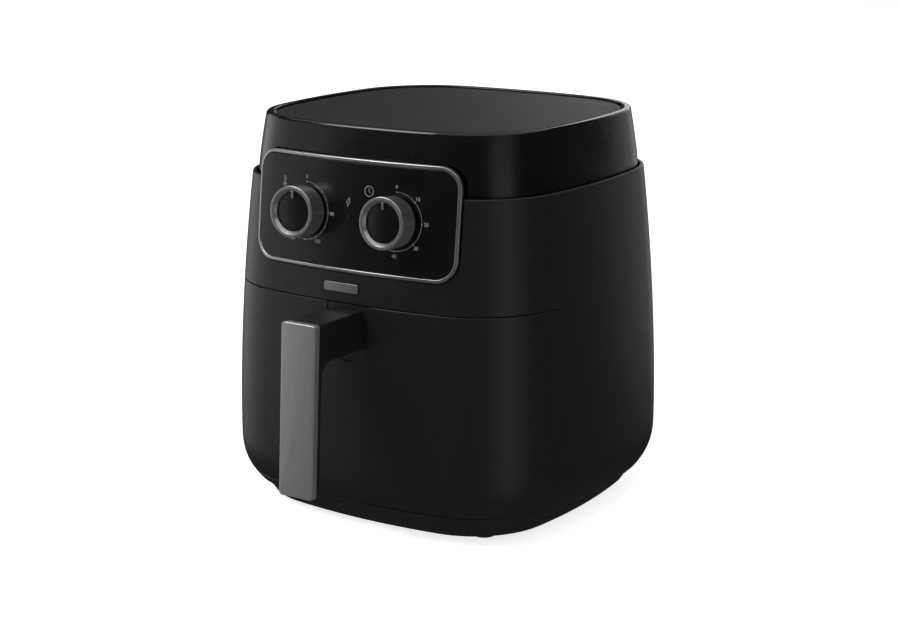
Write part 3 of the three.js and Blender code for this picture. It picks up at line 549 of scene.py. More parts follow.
def bevel(obj, width_mm, segments=3, angle=30):
    modifier = obj.modifiers.new("bevel", "BEVEL")
    modifier.width = width_mm / 1000
    modifier.segments = segments
    modifier.limit_method = "ANGLE"
    modifier.angle_limit = math.radians(angle)
    modifier.harden_normals = True
    return obj


def fillet(profile, steps=5):
    """Rounds the corners of a profile. Each entry is (r, h) or (r, h, radius)."""
    out = []
    count = len(profile)
    for i, entry in enumerate(profile):
        point = np.array(entry[:2], float)
        if len(entry) == 2 or i in (0, count - 1):
            out.append(tuple(point))
            continue
        before = np.array(profile[i - 1][:2], float) - point
        after = np.array(profile[i + 1][:2], float) - point
        reach = entry[2]
        start = point + unit(before) * min(reach, np.linalg.norm(before) * 0.49)
        end = point + unit(after) * min(reach, np.linalg.norm(after) * 0.49)
        out.extend(bend(start, point, end, steps))
    return out


def turned(name, profile, origin, axis, segments=96, up=(0, 0, 1)):
    """A lathe solid. The profile is (radius, height along the axis) and ends on the axis or closes."""
    axis = unit(np.array(axis, float))
    side = unit(np.cross(axis, np.array(up, float)))
    forward = np.cross(side, axis)
    closes = profile[0][0] > 1e-6 or profile[-1][0] > 1e-6
    angles = np.linspace(0, 2 * math.pi, segments, endpoint=False)
    build = bmesh.new()
    rings = []
    for radius, height in profile:
        centre = np.array(origin, float) + axis * height
        if radius < 1e-6:
            rings.append([build.verts.new(place(centre))])
            continue
        spokes = np.outer(np.cos(angles), side) + np.outer(np.sin(angles), forward)
        rings.append([build.verts.new(p) for p in place(centre + radius * spokes)])
    pairs = list(zip(rings, rings[1:])) + ([(rings[-1], rings[0])] if closes else [])
    for a, b in pairs:
        for k in range(segments):
            corners = [a[k % len(a)], a[(k + 1) % len(a)], b[(k + 1) % len(b)], b[k % len(b)]]
            unique = list(dict.fromkeys(corners))
            if len(unique) > 2:
                build.faces.new(unique)
    return shade(add_object(name, build))


def cut_through(obj, loops, low_z, high_z):
    """Cuts upright prisms with outlines in (x, y) out of an object."""
    build = bmesh.new()
    for loop in loops:
        count = len(loop)
        low = [build.verts.new(p) for p in place(np.column_stack([loop, np.full(count, low_z)]))]
        high = [build.verts.new(p) for p in place(np.column_stack([loop, np.full(count, high_z)]))]
        build.faces.new(low[::-1])
        build.faces.new(high)
        for k in range(count):
            build.faces.new((low[k], low[(k + 1) % count], high[(k + 1) % count], high[k]))
    cutter = add_object("cutter", build)
    cut = obj.modifiers.new("cut", "BOOLEAN")
    cut.object = cutter
    cut.operation = "DIFFERENCE"
    cut.solver = "EXACT"
    apply_modifiers(obj)
    bpy.data.objects.remove(cutter)
    return obj


def apply_modifiers(obj):
    graph = bpy.context.evaluated_depsgraph_get()
    mesh = bpy.data.meshes.new_from_object(obj.evaluated_get(graph))
    obj.modifiers.clear()
    obj.data = mesh
    return obj


# ---- shells of the housing

Z_LEVELS = np.concatenate([np.arange(16, 44, 2.2), np.arange(46, 80, 5.0), np.arange(84, 284, 8.0)])
ROUND = around()
LAP = np.append(ROUND, 4 * QUARTER)
FROM_LEFT = np.concatenate([LAP[LAP >= 2 * QUARTER], LAP[(LAP > 0) & (LAP <= 2 * QUARTER)] + 4 * QUARTER])


def drawer_loop(gap, side_gap):
    """The drawer front's edge in (s, z) on the lower housing, counter-clockwise seen from outside."""
    bottom, top, back = DRAWER_BOTTOM + gap, DRAWER_TOP - gap, DRAWER_BACK - side_gap
    low, high = DRAWER_BOTTOM_CORNER - gap, DRAWER_TOP_CORNER - gap
    lower = arc((back - low, bottom + low), low, -90, 0, 12)
    upright = np.column_stack([np.full(40, back), np.linspace(bottom + low, top - high, 42)[1:-1]])
    upper = arc((back - high, top - high), high, 0, 90, 10)
    right = on_surface(LOWER, "right", np.concatenate([lower, upright, upper]))
    left = np.column_stack([6 * QUARTER - right[:, 0], right[:, 1]])[::-1]
    low_span = FROM_LEFT[(FROM_LEFT > left[-1, 0] + 1) & (FROM_LEFT < right[0, 0] - 1)]
    high_span = FROM_LEFT[(FROM_LEFT > left[0, 0] + 1) & (FROM_LEFT < right[-1, 0] - 1)]
    return right, level(high_span[::-1], top), left, level(low_span, bottom)


def on_surface(surface, side, loop):
    """A loop in (x, z), or in (y, z) on the left or right, as (s, z)."""
    return np.column_stack([surface.locate(side, *loop.T), loop[:, 1]])


def panel_notch(z_edge, upward):
    """The (x, z) cut for the control panel at one horizontal edge, left to right."""
    loop = rounded_rect(PANEL_WIDTH + 2 * GAP, PANEL_HEIGHT + 2 * GAP, PANEL_CORNER, (0, PANEL_Z))
    half = loop[loop[:, 1] > z_edge + 0.5] if upward else loop[loop[:, 1] < z_edge - 0.5]
    half = half[np.argsort(np.arctan2(half[:, 0], abs(half[:, 1] - z_edge)))]
    edge = PANEL_WIDTH / 2 + GAP
    return np.concatenate([[[-edge, z_edge]], half, [[edge, z_edge]]])


def with_notch(surface, z_edge, upward):
    """s values right round at one height, interrupted by the panel's notch."""
    notch = on_surface(surface, "front", panel_notch(z_edge, upward))
    left = FROM_LEFT[FROM_LEFT < notch[0, 0] - 1]
    right = FROM_LEFT[FROM_LEFT > notch[-1, 0] + 1]
    return np.concatenate([level(left, z_edge), notch, level(right, z_edge)])


VENT_WIDTH, VENT_HEIGHT, VENT_Z = 100.0, 40.0, 218.0
GLAND_CENTRE, GLAND_RADIUS = (70.0, 45.0), 7.8


def lower_housing():
    """Matte shell with openings for the drawer, the vent and the cord gland."""
    lip = Chain(level(FROM_LEFT, LIP_Z), closed=False, radius=1.4)
    top = Chain(with_notch(LOWER, SEAM_Z, upward=False)[::-1], closed=False, radius=1.3)
    opening = np.concatenate(drawer_loop(0, 0))[::-1]
    vent = on_surface(LOWER, "rear", rounded_rect(VENT_WIDTH, VENT_HEIGHT, 6, (0, VENT_Z)))
    gland = on_surface(LOWER, "rear", circle(GLAND_CENTRE, GLAND_RADIUS, 28))
    chains = [lip, top, Chain(opening, radius=0.7), Chain(vent, radius=0.3), Chain(gland, radius=0.3)]
    return shell("housing_shell", LOWER, chains, WALL, FROM_LEFT, Z_LEVELS)


def drawer_front():
    """Shell that wraps round both front corners, with a round-bottomed socket for the handle."""
    right, along_top, left, along_bottom = drawer_loop(SEAM_GAP, SIDE_SEAM_GAP)
    top = DRAWER_TOP - SEAM_GAP
    cup = arc((0, SOCKET_Z), SOCKET_R, 0, -180, 30)
    rise = spaced(top, SOCKET_Z, 4.0)
    down = np.column_stack([np.full(len(rise), SOCKET_R), rise])
    socket = np.concatenate([down, cup, (down * [-1, 1])[::-1]])
    notch = on_surface(LOWER, "front", socket)
    before = along_top[along_top[:, 0] > notch[0, 0] + 1]
    after = along_top[along_top[:, 0] < notch[-1, 0] - 1]
    edge = np.concatenate([right, before, notch, after, left, along_bottom])
    draft = Draft()
    levels = np.concatenate([Z_LEVELS, [188.0]])
    shell("drawer_shell", LOWER, [Chain(edge, radius=0.7)], WALL, FROM_LEFT, levels, draft=draft)
    floor = socket * [1.004, 1] + [0, -0.02]
    floor_chain = Chain(on_surface(LOWER, "front", floor[::-1]), radius=0.2)
    shell("", LOWER, [floor_chain], WALL - SOCKET_DEPTH, FROM_LEFT, levels, SOCKET_DEPTH, draft=draft)
    return draft.finish("drawer_shell")


def swept_rows(profile):
    """Rings right round the housing from (surface, z, depth) entries."""
    return [surface.point(ROUND, z, depth) for surface, z, depth in profile]


def upper_housing():
    """Gloss band up to the crown, notched for the control panel."""
    bottom = Chain(with_notch(BAND, BAND_FOOT_Z, upward=True), closed=False, radius=0.3)
    top = Chain(level(FROM_LEFT, HEIGHT - CROWN_RADIUS)[::-1], closed=False, radius=0.01)
    levels = np.concatenate([np.arange(281, 326, 5.0), [328, 331]])
    return shell("band", BAND, [bottom, top], WALL, FROM_LEFT, levels)


def rim_ring():
    """The rim over the band: rounded outside edge, flat crown, rounded edge down to the groove."""
    crown = [(inset, -drop) for inset, drop in quarter_round(CROWN_RADIUS, 6)]
    inner = [(GROOVE - drop, -inset) for inset, drop in quarter_round(1.0, 6, first=0)]
    under = [(GROOVE, -5.0), (14.0, -5.0), (14.0, -7.0), (3.2, -7.0), (3.2, -4.0)]
    # The wall below the crown follows the band's lean instead of the straight rim.
    wall = [(BAND, HEIGHT - 3.0, 0.05), (BAND, HEIGHT - CROWN_RADIUS, 0.0)]
    rim = [(RIM, HEIGHT + z, depth) for depth, z in crown + inner + under]
    return sweep("band_rim", swept_rows(wall + rim), closed=True)


def top_cover():
    """Flat panel set into the rim, with a rounded edge."""
    edge = [(COVER_INSET + inset, -1.5 - drop) for inset, drop in quarter_round(1.0, 5)]
    profile = [(COVER_INSET, -4.7), (COVER_INSET, -2.6), *edge]
    return sweep("cover_panel", swept_rows((RIM, HEIGHT + z, depth) for depth, z in profile))


def base_tub():
    """Base plate in one piece: slotted floor, ring wall and a flange inside the housing's lip."""
    inside = [(2.5, 6.0), (2.5, 2.9), (2.9, 2.5), (12.8, 2.5)]
    flange = [(12.8, 4.3), (16.6, 4.3), (17.0, 3.9), (17.0, 0.4), (16.6, 0.0), (14.2, 0.0)]
    outside = [(14.2, 0.5), (13.9, 0.0), (8.0, 0.0), (2.2, 0.0), (1.2, 0.35), (0.5, 0.9)]
    outside += [(0.05, 2.0), (0.0, 3.2)]
    profile = [
        (surface, z, depth)
        for surface, entries in ((BASE, inside), (SPIGOT, flange), (BASE, outside))
        for z, depth in entries
    ]
    tub = sweep("base_tub", swept_rows(profile))
    loops = [rounded_rect(5, 60, 2.4, (x, 20), 6, 70) for x in range(-50, 51, 20)]
    loops += [circle((x, y), 3.4, 24) for x in (-FOOT_XY, FOOT_XY) for y in (-FOOT_XY, FOOT_XY)]
    return bevel(shade(cut_through(tub, loops, -1, 6)), 0.3, 2, 40)


# ---- control panel


def panel_loop(margin, steps=14):
    width, height = PANEL_WIDTH - 2 * margin, PANEL_HEIGHT - 2 * margin
    return rounded_rect(width, height, PANEL_CORNER - margin, (0, PANEL_Z), steps)


def bezel():
    """Silver frame: a side wall, a rounded outer edge, a flat face and a bevel down to the fascia."""
    profile = [(0.05, BEZEL_DEPTH), (0.0, 1.1), *quarter_round(1.1, 5)]
    profile += [(2.2, 0.0), (2.5, 0.06), (2.8, 0.3), (BEZEL_LINE, 0.95), (BEZEL_LINE, BEZEL_DEPTH)]
    rows = []
    for margin, depth in profile:
        s, z = on_surface(PANEL, "front", panel_loop(margin)).T
        rows.append(PANEL.point(s, z, depth))
    return sweep("panel_frame", rows, closed=True)


def dial_origin(x):
    bow = BOW_RATIO * PANEL_HALF_WIDTH
    half_width = panel_half_width(DIAL_Z)
    y = -DEPTH_RATIO * half_width + FASCIA_DEPTH + bow - math.sqrt(bow**2 - x**2)
    return np.array([x, y, DIAL_Z])


DIAL_AXIS = np.array([0.0, -math.cos(PANEL_LEAN), math.sin(PANEL_LEAN)])
DIAL_UP = np.array([0.0, math.sin(PANEL_LEAN), math.cos(PANEL_LEAN)])


def fascia():
    edge = Chain(on_surface(PANEL, "front", panel_loop(BEZEL_LINE + GAP)), radius=0.3)
    holes = [circle((x, DIAL_Z), 4.0, 24, -360) for x in (-DIAL_X, DIAL_X)]
    holes.append(circle((0, LENS_Z), 2.8, 20, -360))
    chains = [edge, *(Chain(on_surface(PANEL, "front", hole), radius=0.2) for hole in holes)]
    s_levels = PANEL.locate("front", np.arange(-96, 97, 6.0), LENS_Z)
    return shell("fascia", PANEL, chains, 3.0, s_levels, np.arange(222, 308, 6.0), FASCIA_DEPTH)


def badge():
    """A plain plate that follows the housing's bow, a gap's width off it."""
    x, z = -6.0, 205.0
    width, height, rise = 34.0, 7.5, 1.1
    edge = Chain(on_surface(LOWER, "front", rounded_rect(width, height, 1.6, (x, z), 8, 2.0)), radius=0.3)
    s_levels = LOWER.locate("front", x + np.arange(-16.0, 17.0, 2.0), z)
    return shell("badge", LOWER, [edge], rise - GAP, s_levels, z + np.arange(-3.0, 3.5, 1.5), -rise)


def knob(name, x):
    """A silver ring over a black band that darkens its foot as painted shade, and the domed disc that fills
    the ring.
    """
    origin = dial_origin(x)
    top = KNOB_LENGTH
    ring = [
        (18.8, 2.4), (20.3, 2.4, 0.4), (20.7, 2.8, 0.4), (21.2, top - 0.7, 0.4), (20.7, top, 0.5),
        (18.4, top, 0.3), (16.1, top - 2.5, 0.4), (16.0, 9.4), (18.8, 9.4),
    ]
    body = turned(f"{name}_ring", fillet(ring), origin, DIAL_AXIS, segments=128)
    radii = (*range(0, 13, 3), 14.4, DISC_RADIUS)
    dome = [(r, top - 2.6 - 0.9 * (r / DISC_RADIUS) ** 2) for r in radii]
    # The band's outer step, r 19.4 below the silver ring, is painted shade: a black ring that deepens the gap
    # at the knob's foot.
    painted_shade_band = [(15.8, top - 4.0), (15.8, 9.0), (18.6, 9.0), (18.6, 2.2), (19.4, 2.2), (19.4, 1.0), (17.6, 1.0)]
    hub = [(17.6, 7.0), (6.0, 7.0), (6.0, 1.2), (3.3, 1.2), (3.3, 10.0), (0.0, 10.0)]
    disc = turned(f"{name}_disc", dome + painted_shade_band + hub, origin, DIAL_AXIS, segments=96)
    return body, disc


def pointer(name, x):
    """A raised tick at twelve o'clock, from the ring's chamfer on to the disc."""
    half_width, half_thickness = 0.95, 0.8
    inner, outer = 10.9, 17.0
    tilt = 0.1
    centre = dial_origin(x) + DIAL_AXIS * (KNOB_LENGTH - 1.9)
    corners = []
    for lift in (-half_thickness, half_thickness):
        for across, up in ((-1, inner), (1, inner), (1, outer), (-1, outer)):
            sideways = np.array([across * half_width, 0, 0])
            corners.append(centre + sideways + DIAL_UP * up + DIAL_AXIS * (lift + tilt * (up - 14)))
    faces = [(3, 2, 1, 0), (4, 5, 6, 7), (0, 1, 5, 4), (1, 2, 6, 5), (2, 3, 7, 6), (3, 0, 4, 7)]
    mesh = bpy.data.meshes.new(name)
    mesh.from_pydata(place(np.array(corners)).tolist(), [], faces)
    tick = shade(add_object(f"{name}_pointer", mesh))
    return bevel(tick, 0.25, 2)


# ---- markings on the fascia

INK = 0.06  # height of the print over the fascia
SUNK = 0.02  # depth of its underside
ARC_RADIUS = 23.6
LABEL_RADIUS = 27.6


def ribbon(points, width):
    """A flat stroke along points in (x, z)."""
    points = np.asarray(points, float)
    steps = np.gradient(points, axis=0)
    side = unit(np.stack([-steps[:, 1], steps[:, 0]], axis=-1)) * width / 2
    loop = np.concatenate([points + side, (points - side)[::-1]])
    count = len(points)
    faces = [(k, k + 1, 2 * count - 2 - k, 2 * count - 1 - k) for k in range(count - 1)]
    return loop, faces


def dot(centre, radius, steps=16):
    return circle(centre, radius, steps), [tuple(range(steps))]


def text_shape(text, height, centre):
    """Flat faces of a short number, centred on a point in (x, z)."""
    curve = bpy.data.curves.new("number", "FONT")
    curve.body = text
    curve.size = height / 0.7
    curve.align_x = "CENTER"
    curve.resolution_u = 4
    obj = bpy.data.objects.new("number", curve)
    mesh = bpy.data.meshes.new_from_object(obj)
    points = np.array([v.co[:2] for v in mesh.vertices])
    faces = [tuple(p.vertices) for p in mesh.polygons]
    low, high = points.min(axis=0), points.max(axis=0)
    points = points - (low + high) / 2 + centre
    bpy.data.objects.remove(obj)
    bpy.data.curves.remove(curve)
    bpy.data.meshes.remove(mesh)
    return points, faces


def clock_face(centre, turn, radius):
    """The point on a dial at an angle clockwise from twelve o'clock, in degrees."""
    angle = math.radians(turn)
    return np.array([centre + radius * math.sin(angle), DIAL_Z + radius * math.cos(angle)])


def dial_marks(centre, labels, last, last_radius):
    """An arc with a dot at every step and a number beside some of them."""
    turns = np.linspace(0, last, 60)
    shapes = [ribbon([clock_face(centre, t, ARC_RADIUS) for t in turns], 0.28)]
    for turn, label in labels:
        shapes.append(dot(clock_face(centre, turn, ARC_RADIUS), 0.6))
        radius = last_radius if turn == last else LABEL_RADIUS
        if label:
            shapes.append(text_shape(label, 3.0, clock_face(centre, turn, radius)))
    return shapes


def icons():
    """Thin outlines of a clock, a lightning bolt and a thermometer."""
    clock = np.array([18.9, 285.7])
    shapes = [ribbon(arc(clock, 4.1, 0, 360, 40), 0.5)]
    shapes.append(ribbon([clock + [0, 2.4], clock], 0.45))
    shapes.append(ribbon([clock, clock + [1.5, -1.4]], 0.45))
    corners = [(0.6, 3.6), (-2.1, -0.4), (-0.3, -0.4), (-0.8, -3.6), (2.1, 0.8), (0.3, 0.8), (1.5, 3.6)]
    bolt = np.array(corners) + [-0.9, 275.0]
    line = 0.35
    shapes.extend(ribbon([a, b], line) for a, b in zip(bolt, np.roll(bolt, -1, axis=0)))
    bulb = np.array([-68.8, 283.1])
    stem, top = 0.75, 5.6
    shapes.append(ribbon(arc(bulb, 1.7, 115, 425, 24), line))
    shapes.append(ribbon(arc(bulb + [0, top], stem, 0, 180, 12), line))
    shapes.extend(ribbon([bulb + [x, 1.5], bulb + [x, top]], line) for x in (-stem, stem))
    shapes.append(dot(bulb, 0.8))
    return shapes


def markings():
    heat = [(0, "0"), (45, ""), *((t * 1.5 - 30, "" if t % 40 else str(t)) for t in range(80, 201, 20))]
    time = [(t * 4.5, str(t)) for t in range(0, 61, 10)]
    shapes = dial_marks(-DIAL_X, heat, DIAL_TURN, 33.5) + dial_marks(DIAL_X, time, DIAL_TURN, 28.5) + icons()
    build = bmesh.new()
    for points, faces in shapes:
        s, z = on_surface(PANEL, "front", points).T
        lower = [build.verts.new(p) for p in place(PANEL.point(s, z, FASCIA_DEPTH + SUNK))]
        upper = [build.verts.new(p) for p in place(PANEL.point(s, z, FASCIA_DEPTH - INK))]
        edges = {}
        for face in faces:
            build.faces.new([upper[i] for i in face])
            build.faces.new([lower[i] for i in reversed(face)])
            for a, b in zip(face, (*face[1:], face[0])):
                edges[(a, b)] = edges.get((a, b), 0) + 1
        for a, b in edges:
            if (b, a) not in edges:
                build.faces.new([upper[b], upper[a], lower[a], lower[b]])
    return shade(add_object("dial_print", build), 20)


# ---- handle


def handle_y(z):
    """The grip's face at a height."""
    return -(HANDLE_FRONT + (HANDLE_FACE_Z - z) * HANDLE_SLOPE)


def handle_plate():
    """Silver block with softly rounded edges, standing along the leaning grip."""
    lean = math.atan(HANDLE_SLOPE)
    middle = (HANDLE_TOP + HANDLE_BOTTOM) / 2
    length = (HANDLE_TOP - HANDLE_BOTTOM) / math.cos(lean) - 0.6
    edge = 1.2
    profile = [(0.5, PLATE_THICKNESS), (0.0, PLATE_THICKNESS - 0.5), (0.0, edge), *quarter_round(edge, 6)]
    rows = []
    for inset, depth in profile:
        width, height = HANDLE_WIDTH - 2 * inset, length - 2 * inset
        x, up = rounded_rect(width, height, PLATE_CORNER - inset, steps=8, spacing=20).T
        y = handle_y(middle) + depth * math.cos(lean) + up * math.sin(lean)
        z = middle + up * math.cos(lean) - depth * math.sin(lean)
        rows.append(np.column_stack([x, y, z]))
    return sweep("handle_face", rows)


def handle_grip():
    """Black backing of the plate and the neck that carries it, in one side profile drawn out along X."""
    back = lambda z, extra: handle_y(z) + PLATE_THICKNESS + GAP + extra
    top, bottom = HANDLE_TOP - 1.2, HANDLE_BOTTOM + 1.5
    neck_end = -157.0
    heel_radius = 15.0
    heel = (back(NECK_BOTTOM - heel_radius, GRIP_THICKNESS), NECK_BOTTOM - heel_radius)
    elbow = (back(NECK_BOTTOM, GRIP_THICKNESS), NECK_BOTTOM)
    toe = (elbow[0] + heel_radius, NECK_BOTTOM)
    front = [(back(z, 0), z) for z in np.linspace(top, bottom, 12)]
    behind = [(back(z, GRIP_THICKNESS), z) for z in np.linspace(bottom, heel[1], 9)[:-1]]
    neck_under = [(y, NECK_BOTTOM) for y in np.linspace(toe[0], neck_end, 8)[1:]]
    neck_top = [(y, top) for y in np.linspace(neck_end, front[0][0], 10)[:-1]]
    profile = np.array(front + behind + bend(heel, elbow, toe, 12) + neck_under + neck_top)
    half = HANDLE_WIDTH / 2 - 0.9
    end = profile[:, 0] > neck_end - 1
    rows = []
    for x in np.linspace(-half, half, 9):
        row = np.column_stack([np.full(len(profile), x), profile])
        s = LOWER.locate("front", row[end, 0], row[end, 2])
        row[end] = LOWER.point(s, row[end, 2], SOCKET_DEPTH + 0.2)
        rows.append(row)
    return bevel(sweep("handle_core", rows), 2.2, 4, 50)


# ---- pan and tray


def pan_rings(profile, base_z):
    """Rings in the pan's plan from (inset, height over base_z) entries."""
    rows = []
    for inset, z in profile:
        width, depth = 2 * (PAN_HALF_WIDTH - inset), 2 * (PAN_HALF_DEPTH - inset)
        loop = rounded_rect(width, depth, max(4.0, PAN_CORNER - inset), (0, CHAMBER_Y), 12, 25)
        rows.append(np.column_stack([loop, np.full(len(loop), base_z + z)]))
    return rows


def drawer_pan():
    """Deep-drawn pan with a rolled rim."""
    outside = [(14, 0), (9, 0.2), (6, 1.0), (4, 2.5), (2.2, 5.0), (1, 8), (0.4, 20), (0, 40)]
    rim = [(0, -2.4), (-0.6, -1.8), (-4.6, -1.7), (-5, -1.3), (-5, -0.4), (-4.6, 0), (0, 0)]
    rim += [(1.1, -0.3), (1.6, -1.2)]
    inside = [(1.6, 40), (2.2, 20), (2.8, 10), (3.9, 6.4), (5.6, 3.9), (7.6, 2.4), (10, 1.7), (15, 1.6)]
    rows = pan_rings(outside, PAN_FLOOR_Z) + pan_rings(rim, PAN_RIM_Z) + pan_rings(inside, PAN_FLOOR_Z)
    return sweep("pan_body", rows)


def crisper_tray():
    """Raised-edge tray with rows of slots and a finger hole, cut through with a boolean."""
    wall = [(7.6, 0.0), (7.0, 0.6), (7.0, 5.4), (7.5, 6.0), (8.5, 6.0), (9.0, 5.4)]
    floor = [(9.2, 3.4), (10.2, 2.2), (12.0, 2.0)]
    tray = sweep("tray_body", pan_rings(wall + floor, TRAY_Z))
    loops = [circle((0, CHAMBER_Y), 13, 40)]
    places = [(column, row) for row in range(-3, 4) for column in range(-2, 3) if (column, row) != (0, 0)]
    for column, row in places:
        centre = (column * 38.0, CHAMBER_Y + row * 30.0)
        loops.append(rounded_rect(28, 6, 2.9, centre, 6, 30))
    cut_through(tray, loops, TRAY_Z - 2, TRAY_Z + 4)
    return bevel(shade(tray), 0.5, 2, 40)


# ---- materials


class Nodes:
    """A short way to write a node material."""

    def __init__(self, name):
        self.material = bpy.data.materials.new(name)
        self.material.use_nodes = True
        self.tree = self.material.node_tree
        self.tree.nodes.clear()
        self.shader = self.new("BsdfPrincipled")
        self.new("OutputMaterial", Surface=self.shader.outputs[0])
        self.coordinates = self.new("TexCoord").outputs["Object"]

    def link(self, source, target):
        self.tree.links.new(source, target)

    def fill(self, node, **inputs):
        """Sets inputs, where _ stands for a space: a socket is linked, anything else is a value."""
        for name, value in inputs.items():
            target = node.inputs[name.replace("_", " ")]
            if isinstance(value, bpy.types.NodeSocket):
                self.link(value, target)
            else:
                target.default_value = value
        return node

    def new(self, kind, **inputs):
        return self.fill(self.tree.nodes.new(f"ShaderNode{kind}"), **inputs)

    def noise(self, scale, detail, stretch=None):
        where = self.coordinates
        if stretch:
            where = self.new("Mapping", Scale=stretch, Vector=where).outputs[0]
        return self.new("TexNoise", Scale=scale, Detail=detail, Roughness=0.55, Vector=where).outputs["Fac"]

    def cells(self, scale):
        return self.new("TexVoronoi", Scale=scale, Vector=self.coordinates).outputs["Distance"]

    def ramp(self, source, low, high, start=0.35, end=0.65):
        """Maps start..end of a value to low..high."""
        ends = {"From_Min": start, "From_Max": end, "To_Min": low, "To_Max": high}
        return self.new("MapRange", Value=source, **ends).outputs[0]

    def mix(self, factor, dark, light):
        node = self.tree.nodes.new("ShaderNodeMix")
        node.data_type = "RGBA"
        node.inputs["A"].default_value = (*dark, 1)
        node.inputs["B"].default_value = (*light, 1)
        self.link(factor, node.inputs["Factor"])
        return node.outputs["Result"]

    def surface(self, colour, roughness, *layers, **settings):
        """Links colour, roughness and a stack of (height, depth in mm, strength) bumps to the shader."""
        self.fill(self.shader, Base_Color=colour, Roughness=roughness, **settings)
        previous = None
        for height, depth, strength in layers:
            node = self.new("Bump", Distance=depth / 1000, Strength=strength, Height=height)
            if previous:
                self.link(previous, node.inputs["Normal"])
            previous = node.outputs["Normal"]
        if previous:
            self.link(previous, self.shader.inputs["Normal"])
        return self.material


def grey(value, blue=0.0):
    """A grey with a little more blue in it."""
    return (value, value, value + blue)


def finish(name, tint, shades, haze, rough, *relief, stretch=None, **settings):
    """A material whose colour, roughness and relief each follow a noise.

    tint and haze are (scale, detail) of a noise, shades is (dark, light) and rough is (low, high).
    Each relief is (scale, detail, depth in mm, strength). stretch draws the grain out into lines.
    """
    n = Nodes(name)
    colour = n.mix(n.ramp(n.noise(*tint, stretch), 0, 1), *shades)
    roughness = n.ramp(n.noise(*haze, stretch), *rough)
    layers = [(n.noise(scale, detail, stretch), depth, strength) for scale, detail, depth, strength in relief]
    return n.surface(colour, roughness, *layers, **settings)


def moulded(name, shades, rough, grain=1400.0, specular=0.5):
    """Moulded plastic with a fine spark-eroded grain."""
    relief = ((grain, 2, 0.03, 0.5), (grain * 0.37, 2, 0.042, 0.2))
    return finish(name, (350, 3), shades, (240, 3), rough, *relief, Specular_IOR_Level=specular)


def glossy(name, shades, rough):
    """Polished plastic with faint orange peel and fingertip haze."""
    return finish(name, (18, 3), shades, (35, 4), rough, (60, 2, 0.02, 0.01), Specular_IOR_Level=0.5)


def plated(name, shades, rough, metallic, stretch=None):
    """Satin metallic finish on plastic, brushed where it is stretched."""
    relief = (2600, 2, 0.0006, 0.4)
    return finish(name, (500, 3), shades, (300, 3), rough, relief, stretch=stretch, Metallic=metallic)


def metal(name, shades, rough, stretch=None, depth=0.01):
    """Bare metal, with rolling lines where it is stretched."""
    return finish(name, (40, 4), shades, (225, 5), rough, (900, 3, depth, 0.5), stretch=stretch, Metallic=1.0)


def coated(name):
    """Non-stick coating: dark with tiny pale speckles."""
    n = Nodes(name)
    speckle = n.mix(n.ramp(n.cells(900), 1, 0, 0.05, 0.16), grey(0.014, 0.001), grey(0.075, 0.005))
    return n.surface(speckle, n.ramp(n.noise(80, 5), 0.32, 0.5), (n.noise(500, 4), 0.03, 0.4))


def rubber(name):
    """Dull silicone."""
    shades = (grey(0.006), grey(0.016))
    return finish(name, (60, 4), shades, (120, 4), (0.7, 0.92), (900, 3, 0.04, 0.5), Specular_IOR_Level=0.3)


def lens(name):
    """Smoked amber lens over an unlit lamp."""
    shades = ((0.004, 0.0024, 0.0018), (0.008, 0.0036, 0.0024))
    return finish(name, (300, 3), shades, (200, 3), (0.2, 0.35), (700, 2, 0.02, 0.3), Coat_Weight=0.3)


def printed(name):
    """White ink, worn to a light grey."""
    return finish(name, (900, 4), (grey(0.27), grey(0.35)), (700, 3), (0.4, 0.6), (1600, 2, 0.01, 0.3))


def light_table(name):
    """A pale sheet lit from below, as pictures on white are taken."""
    glow = {"Specular_IOR_Level": 0.1, "Emission_Color": (1, 1, 1, 1), "Emission_Strength": 0.8}
    return finish(name, (3, 3), (grey(0.86), grey(0.9)), (20, 3), (0.75, 0.9), **glow)


ROLLED = (1.0, 1.0, 0.02)
BRUSHED = (1.0, 1.0, 0.03)
SILVER = ((0.39, 0.395, 0.4), (0.43, 0.435, 0.44))
HANDLE_SILVER = ((0.46, 0.465, 0.47), (0.5, 0.505, 0.51))
STEEL = ((0.42, 0.43, 0.45), (0.56, 0.57, 0.59))
ALUMINIUM = ((0.5, 0.51, 0.52), (0.64, 0.65, 0.66))
SHEATH = ((0.05, 0.045, 0.042), (0.14, 0.11, 0.09))
COPPER = ((0.42, 0.15, 0.06), (0.6, 0.24, 0.11))
BRASS = ((0.5, 0.32, 0.09), (0.66, 0.43, 0.14))
IVORY = ((0.6, 0.58, 0.53), (0.72, 0.7, 0.65))
MATTE = (grey(0.0068, 0.0003), grey(0.0092, 0.0004))
GLOSS = (grey(0.003, 0.0002), grey(0.004, 0.0003))
BASE_SHADES = (grey(0.007, 0.0002), grey(0.011, 0.0003))
COVER_SHADES = (grey(0.009, 0.0003), grey(0.012, 0.0004))

